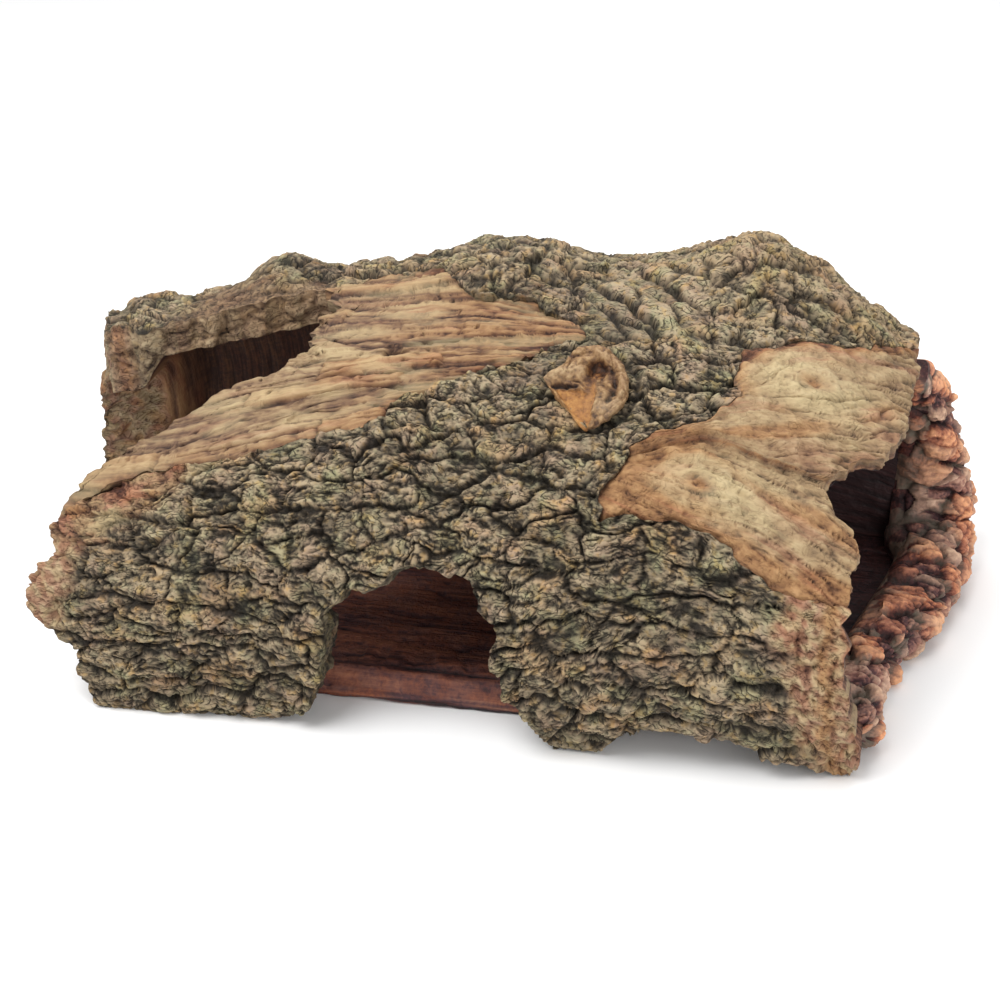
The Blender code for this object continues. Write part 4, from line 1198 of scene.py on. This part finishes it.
def lumpy(p, seed):
    """Knobbly relief of the rim: stretched bumps with creases between them."""
    warped = p + np.stack([noise3(p / 7, seed + m) for m in range(3)], -1) * 2.2
    gap, own = cells3(warped / (24, 10.0, 9.5), seed)
    small, chip = cells3(warped / (12, 4.2, 4.2), seed + 3)
    crease = bell(gap, 0.07) * rise(-0.4, 0.2, noise3(p / 9, seed + 8))
    fine = noise3(p / (3.6, 1.7, 1.7), seed + 5)
    grit = noise3(p / 0.9, seed + 6)
    dome, knob = 1 - np.exp(-gap / 0.16), 1 - np.exp(-small / 0.2)
    h = 2.2 * dome + 2.8 * (own - 0.5) + 0.9 * knob + 1.6 * (chip - 0.5)
    h = h + 0.7 * fine + 0.18 * grit - 1.0 * crease - 1.8 + 1.2 * noise3(p / 11, seed + 9)
    top = 0.10 + 0.42 * dome + 0.26 * fine + 0.2 * grit + 0.28 * knob
    top = top + 0.3 * (own - 0.5) + 0.35 * (chip - 0.5)
    top = np.clip(1.15 * (top - 0.4 * crease) - 0.05, 0, 1)
    return h, top, own, chip


def by_walls(y, z):
    """1 where the rim lies against the rear wall, 0 along the front of the floor."""
    return np.maximum(rise(56, 70, y), rise(8, 16, z) * rise(-20, 8, y))


def rounded(wave):
    """A sine or cosine squared off towards the corners."""
    return np.sign(wave) * np.abs(wave) ** (2 / RIM_POWER)


def build_rim():
    """Lumpy rim from the ridge down the back and across the floor, in one bent bar."""
    rows, columns = int(400 * QUALITY), int(152 * QUALITY)
    share = np.linspace(0, 1, rows)
    stations = smooth_stations(RIM_STATIONS, share)
    centre, y, z, wide, thick = stations[:, None, :3], *(stations[:, k:k + 1] for k in (1, 2, 3, 4))
    ahead = unit(np.gradient(stations[:, :3], axis=0))
    side = unit(np.array((1.0, 0, 0)) - ahead * ahead[:, :1])
    inward = np.cross(ahead, side)[:, None]
    side = side[:, None]
    angle = np.linspace(0, 2 * math.pi, columns, endpoint=False)[None, :]
    c, s = np.cos(angle), np.sin(angle)
    reach = rounded(c) * (wide + 4.0 * by_walls(y, z) * (c < 0))
    p = centre + side * reach[..., None] + inward * (rounded(s) * thick)[..., None]
    normal = unit(side * c[..., None] + inward * s[..., None])
    h, top, own, chip = lumpy(p, 801)
    inner = rise(0.15, -0.5, c) * rise(2, 22, y)
    top = np.clip(top * (1 - 0.7 * inner) + 0.18 * inner * noise3(p / (9, 1.6, 1.6), 815), 0, 1)
    room = np.minimum(1, 5 * share)[:, None] * rise(-0.9, -0.1, c)
    round_end = np.sqrt(np.clip((1 - share) / 0.035, 0.02, 1))[:, None, None]
    p = centre + (p - centre) * round_end + normal * (h * room)[..., None]
    flat = by_walls(p[..., 1], p[..., 2])
    p[..., 0] = np.maximum(p[..., 0], RIM_INNER_X - 30 * (1 - flat))
    p[..., 2] = np.maximum(p[..., 2], 0)
    violet = rise(-0.2, 0.4, noise3(p / 12, 811))
    made = painted(h, top, 0, 0, rise(0.35, 0.75, own), rise(0.3, 0.9, chip), violet, 1.0)
    return ring_solid("right_end_knobs", vertices(to_frame(p), p, p, made), rows, columns)


def stub_axes():
    """Seat of the stub, then its axes: across, up the face, and out."""
    x, v = (np.array(k) for k in STUB_PLACE)
    seat = surface(x, v, 0)
    along = unit(surface(x + 1, v, 0) - surface(x - 1, v, 0))
    up = unit(surface(x, v + 1, 0) - surface(x, v - 1, 0))
    out = unit(np.cross(along, up))
    out = out if out[2] > 0 else -out
    c, s = math.cos(STUB_TILT), math.sin(STUB_TILT)
    out = out * c + np.cross(along, out) * s
    return seat, along, unit(np.cross(out, along)), out


def slope_line(u, w, start, end):
    """Distance from the line between two points of the face."""
    (u0, w0), (u1, w1) = start, end
    du, dw = u1 - u0, w1 - w0
    along = np.clip(((u - u0) * du + (w - w0) * dw) / (du * du + dw * dw), 0, 1)
    return np.hypot(u - u0 - along * du, w - w0 - along * dw)


def stub_face(u, w):
    """Carved face of the cut branch: relief, and masks."""
    r, turn = np.hypot(u, w), np.degrees(np.arctan2(w, u))
    jitter = 0.5 * noise2(u / 2.2, w / 2.2, 852)
    basin = rise(3.6, 1.6, np.hypot(u - 1.8, w - 4.6) + jitter)
    eye = bell(np.hypot(u - 0.6, (w - 1.6) * 1.3), 1.2)
    beak = bell(slope_line(u, w, (-12, 1.6), (-3, 4.2)), 1.7)
    slit = bell(slope_line(u, w, (-9.6, -0.9), (-3.2, -0.6)) + 0.4 * jitter, 0.55)
    left, right = -1.6 - w + 0.5 * jitter, 2.6 + 0.14 * w - u + jitter
    wedge = rise(-0.4, 0.4, left) * rise(-0.4, 0.4, right) * rise(-0.4, 0.4, u + 8.6 + 0.72 * (w + 2.2))
    ridge = bell(slope_line(u, w, (-9.4, -2.4), (-0.8, -12.4)), 0.8)
    rim = bell(r - 9.6, 1.4) * rise(-62, -40, turn) * rise(100, 70, turn)
    dip = bell(r - 7.2, 0.8) * rise(-62, -40, turn) * rise(80, 50, turn)
    lumps, lit = knobs(u, w, 853, 5.0, 5.0)
    calm = 1 - 0.9 * wedge
    fine = noise2(u / 1.1, w / 1.1, 861)
    h = 1.5 * rim + 1.5 * beak + 1.1 * ridge - 2.4 * basin - 1.0 * eye - 1.5 * wedge - 1.3 * slit - 0.9 * dip
    h = h + (0.6 * lumps + 0.2 * fine) * calm
    top = 0.52 + (0.55 * (lit - 0.5) + 0.15 * fine) * calm + 0.22 * (rim + beak + ridge) - 0.3 * basin
    top = top - 0.5 * eye - 0.7 * slit - 0.4 * dip + 0.14 * wedge
    warm = np.clip(0.2 + 0.9 * basin + 0.9 * wedge + 0.4 * ridge, 0, 1)
    pale = 0.7 * bell(np.hypot(u - 5, w + 6), 3.4) + 0.5 * beak
    return h, np.clip(top, 0, 1), warm, np.clip(pale, 0, 1), np.clip(0.6 * rim + 0.3 * ridge, 0, 1)


def build_stub():
    """Cut branch: a collar out of its bored seat, and a domed and carved face."""
    seat, along, up, out = stub_axes()
    angle = np.linspace(0, 2 * math.pi, int(160 * QUALITY), endpoint=False)[None, :]
    c, s, flat = np.cos(angle), np.sin(angle), 0 * angle
    collar = np.linspace(-STUB_DEPTH, STUB_STANDS - 1.4, int(30 * QUALITY))[:, None]
    disc = np.linspace(0, 1, int(62 * QUALITY))[1:-1, None] * math.pi / 2
    outline = line_at(np.degrees(np.arctan2(s, c)), STUB_OUTLINE) + 0.4 * noise2(c * 2.5, s * 2.5, 871)
    low = rise(-1, 3.5, collar)
    flared = (outline + 0.45 * (STUB_STANDS - collar)) * low
    wander = 0.5 * noise2(angle * 5, collar / 2.2, 872) * low
    sides = 9.0 * (1 - low) + flared - 1.1 + wander
    radius = np.concatenate([sides, (outline - 0.5) * np.cos(disc) ** 0.4])
    lift = np.concatenate([collar + flat, STUB_STANDS - 1.4 + 1.4 * np.sin(disc) ** 0.6 + flat])
    u, w = radius * c, radius * s
    h, top, *rest = stub_face(u, w)
    share = rise(STUB_STANDS - 3.0, STUB_STANDS - 0.6, lift)
    lift = lift + h * share - 0.06 * (u + 2) * share
    p = seat + (along * u[..., None] + up * w[..., None] + out * lift[..., None]) * MM
    made = painted(h, top * (0.35 + 0.65 * rise(0, 3.5, lift)), 0, 0, *rest, 1.0)
    place = np.stack([u, w, lift], -1)
    return ring_solid("cut_branch_stub", vertices(p, place, place, made), *u.shape)


def floor_ends(t):
    """Left and right ends of the floor at each share of the way from front to back."""
    ends = []
    for line in (FLOOR_LEFT, FLOOR_RIGHT):
        y = line[0, 1] + (line[-1, 1] - line[0, 1]) * t
        ends.append(np.interp(y, line[:, 1], line[:, 0]))
    return ends


def floor_top(rows, columns):
    """Upper face of the floor, with a lip and a groove along its front edge, and painted shade towards the
    right end: points and masks.
    """
    t = np.linspace(0, 1, rows)[:, None]
    left_x, right_x = floor_ends(t)
    x = left_x + (right_x - left_x) * np.linspace(0, 1, columns)[None, :]
    front, _crest, rear, _height, tuck = station(x)
    near, far = front + tuck + FOOT_WALL, rear - FOOT_WALL
    y = near + (far - near) * t
    ridge, top = grain(x, y * 0.9, 901, 0.8)
    block = rise(-0.1, 0.1, noise2(x / 7, y / 12, 905))
    back = y - near
    groove = bell(back - 6.4, 0.9)
    h = 0.7 * ridge + 1.2 * bell(back - 3.2, 2.6) - 1.3 * groove
    h = h + 0.8 * (block - 0.5) * rise(6, 9, back) * rise(26, 18, back)
    z = np.minimum(FLOOR_HEIGHT + h - 0.4, 9.4) - 3.2 * rise(3.0, 0.0, back) ** 2
    # painted shade: the floor darkens towards the right end, inside the log where shade falls
    top = (0.5 + 0.5 * (top - 0.5) - 0.6 * groove) * (1 - 0.7 * rise(48, 82, x))
    made = painted(h, np.clip(top, 0, 1), x, y, 0.3 + 0.4 * block, 0.0, 0.5, 1.0)
    return np.stack([x, y, z], -1), made


def floor_ring(edge, around, sag, share):
    """Vertices round the edge of the floor, at a share of the way down it, with painted shade that darkens
    towards the ground.
    """
    level = edge[:, 2] * (1 - share) + sag * share
    swell = 0.55 * noise2(around / 30, level / 1.6, 913) + 0.25 * noise2(around / 8, level / 0.9, 914)
    push = (0.9 * math.sin(share * math.pi) ** 0.6 + swell) * (edge[:, 1] < 0)
    ring = np.stack([edge[:, 0], edge[:, 1] - push, level], -1)
    # painted shade: the edge gets darker the further down it is, towards the ground
    top = np.clip(0.55 + 0.6 * noise2(around / 26, level / 1.4, 913) - 0.25 * share, 0, 1)
    warm = rise(-0.3, 0.5, noise2(around / 14, level / 3, 915))
    violet = rise(-0.3, 0.5, noise2(around / 20, level / 3, 916))
    return vertices(to_frame(ring), ring, ring, painted(level, top, 0, 0, warm, 0.0, violet, 1.0))


def build_floor():
    """Floor slab: a grained top, and a worn edge that sags to the ground."""
    columns, rows, steps = int(330 * QUALITY), int(150 * QUALITY), 10
    grid, made = floor_top(rows, columns)
    loop, _side = perimeter(rows, columns)
    edge = grid.reshape(-1, 3)[loop]
    around = walked(edge[:, :2])
    sag = 0.9 * np.maximum(0, noise2(around / 17, 0 * around, 911))
    sag = sag + 0.5 * np.maximum(0, noise2(around / 6, 0 * around, 912))
    rings = [floor_ring(edge, around, sag, k / steps) for k in range(1, steps + 1)]
    walls, last = wall_quads(loop, rows * columns, steps)
    solid = joined([vertices(to_frame(grid), grid, grid, made)] + rings)
    quads = np.concatenate([sheet_quads(rows, columns), walls])
    return mesh_object("floor_slab", solid, quads, [list(last[::-1])])


def tinted_material(name, stops, amber, streaky, bump):
    """Painted resin that goes from dark creases to lit tops, with patches of a warmer glaze."""
    material, tree = new_material(name)
    skin = attribute(tree, "skin", "Vector")
    speck = noise(tree, skin, 0.8, 4.0, 0.6)
    streak = noise(tree, scaled(tree, skin, streaky), 1.0, 4.0, 0.6)
    face = plus(tree, attribute(tree, "top"), swing(tree, speck, 0.8))
    colour = ramp(tree, plus(tree, face, swing(tree, streak, 0.7), True), stops)
    colour = tint(tree, colour, masked(tree, "warm", 0.85), amber)
    colour = tint(tree, colour, masked(tree, "violet", 0.5), (0.80, 0.78, 0.95))
    colour = mix(tree, masked(tree, "pale", 0.6), colour, mix(tree, 0.4, colour, (0.55, 0.47, 0.33, 1)))
    roughness = ranged(tree, speck, 0.3, 0.7, 0.5, 0.75)
    finish_shader(tree, colour, plus(tree, speck, streak), roughness, bump, 0.8)
    return material


def dress(piece, node_name, *materials):
    """Paint on a piece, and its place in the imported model."""
    for material in materials:
        piece.data.materials.append(material)
    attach(piece, "root")
    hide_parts(node_name)


# each piece with its own paint: shape, name, dark to light, glaze, streaks across x, y and z, bump
TINTED = {
    "right_end_rim": (
        build_rim, "painted_rim", (
            (0.0, 0.020, 0.008, 0.010), (0.3, 0.110, 0.042, 0.040),
            (0.6, 0.38, 0.180, 0.125), (1.0, 0.80, 0.50, 0.33)),
        (1.2, 0.84, 0.56), (0.25, 0.5, 0.5), 0.0008),
    "branch_stub": (
        build_stub, "painted_stub", (
            (0.0, 0.02, 0.010, 0.007), (0.3, 0.085, 0.042, 0.022),
            (0.6, 0.25, 0.150, 0.070), (1.0, 0.40, 0.285, 0.155)),
        (1.2, 0.82, 0.42), (0.4, 0.4, 0.4), 0.0006),
    "base_floor": (
        build_floor, "painted_floor", (
            (0.0, 0.016, 0.010, 0.013), (0.35, 0.086, 0.037, 0.038),
            (0.65, 0.210, 0.088, 0.060), (1.0, 0.36, 0.18, 0.11)),
        (1.15, 0.8, 0.55), (0.06, 0.8, 0.8), 0.0006),
}
outside, inside = log_material(), inside_material()
for shell_node, shell_piece in build_shells().items():
    dress(shell_piece, shell_node, outside, inside)
for tinted_node, (build, *paint) in TINTED.items():
    dress(build(), tinted_node, tinted_material(*paint))


# ---------------------------------------------------------------- stage, light and camera
# name, position, size, power
LIGHTS = (
    ("key", (-0.35, -0.35, 0.9), 0.7, 9.0),
    ("fill", (0.7, -0.8, 0.5), 0.9, 4.0),
    ("top", (0.1, 0.5, 0.9), 0.8, 5.0),
)
STUDIO_SIZE, STUDIO_DROP = 3.0, 0.0002


def stage():
    """White floor just under the ornament."""
    mesh = bpy.data.meshes.new("studio_floor")
    corners = [(x * STUDIO_SIZE, y * STUDIO_SIZE, 0) for x, y in ((-1, -1), (1, -1), (1, 1), (-1, 1))]
    mesh.from_pydata(corners, [], [(0, 1, 2, 3)])
    material, tree = new_material("studio_white")
    shader = tree.nodes["Principled BSDF"]
    shader.inputs["Base Color"].default_value = (0.93, 0.93, 0.93, 1)
    shader.inputs["Roughness"].default_value = 0.9
    mesh.materials.append(material)
    put("studio_floor", mesh, (0, 0, -STUDIO_DROP))


def area_light(name, position, size, power):
    """White disk of light aimed at the middle of the ornament."""
    data = bpy.data.lights.new(name, "AREA")
    data.shape, data.size, data.energy = "DISK", size, power
    lamp = put(name, data, position)
    lamp.rotation_euler = (Vector((0, 0, 0.04)) - Vector(position)).to_track_quat("-Z", "Y").to_euler()


def camera():
    """The photograph's view: a little to the right and above, from 0.56 m."""
    azimuth, elevation, distance = math.radians(12), math.radians(28), 0.56
    data = bpy.data.cameras.new("camera")
    data.lens, data.sensor_width = 70, 36
    data.clip_start, data.clip_end = 0.01, 20
    flat = math.cos(elevation)
    back = Vector((math.sin(azimuth) * flat, -math.cos(azimuth) * flat, math.sin(elevation)))
    target = Vector((-CENTRE_X * MM, -CENTRE_Y * MM, 0.048))
    cam = put("camera", data, target + back * distance)
    cam.rotation_mode = "QUATERNION"
    cam.rotation_quaternion = (-back).to_track_quat("-Z", "Y")
    bpy.context.scene.camera = cam


stage()
for light in LIGHTS:
    area_light(*light)
world = bpy.data.worlds.new("studio")
world.use_nodes = True
background = world.node_tree.nodes["Background"].inputs
background["Color"].default_value = (1, 1, 1, 1)
background["Strength"].default_value = 0.55
bpy.context.scene.world = world
bpy.context.scene.view_settings.view_transform = "Standard"
camera()
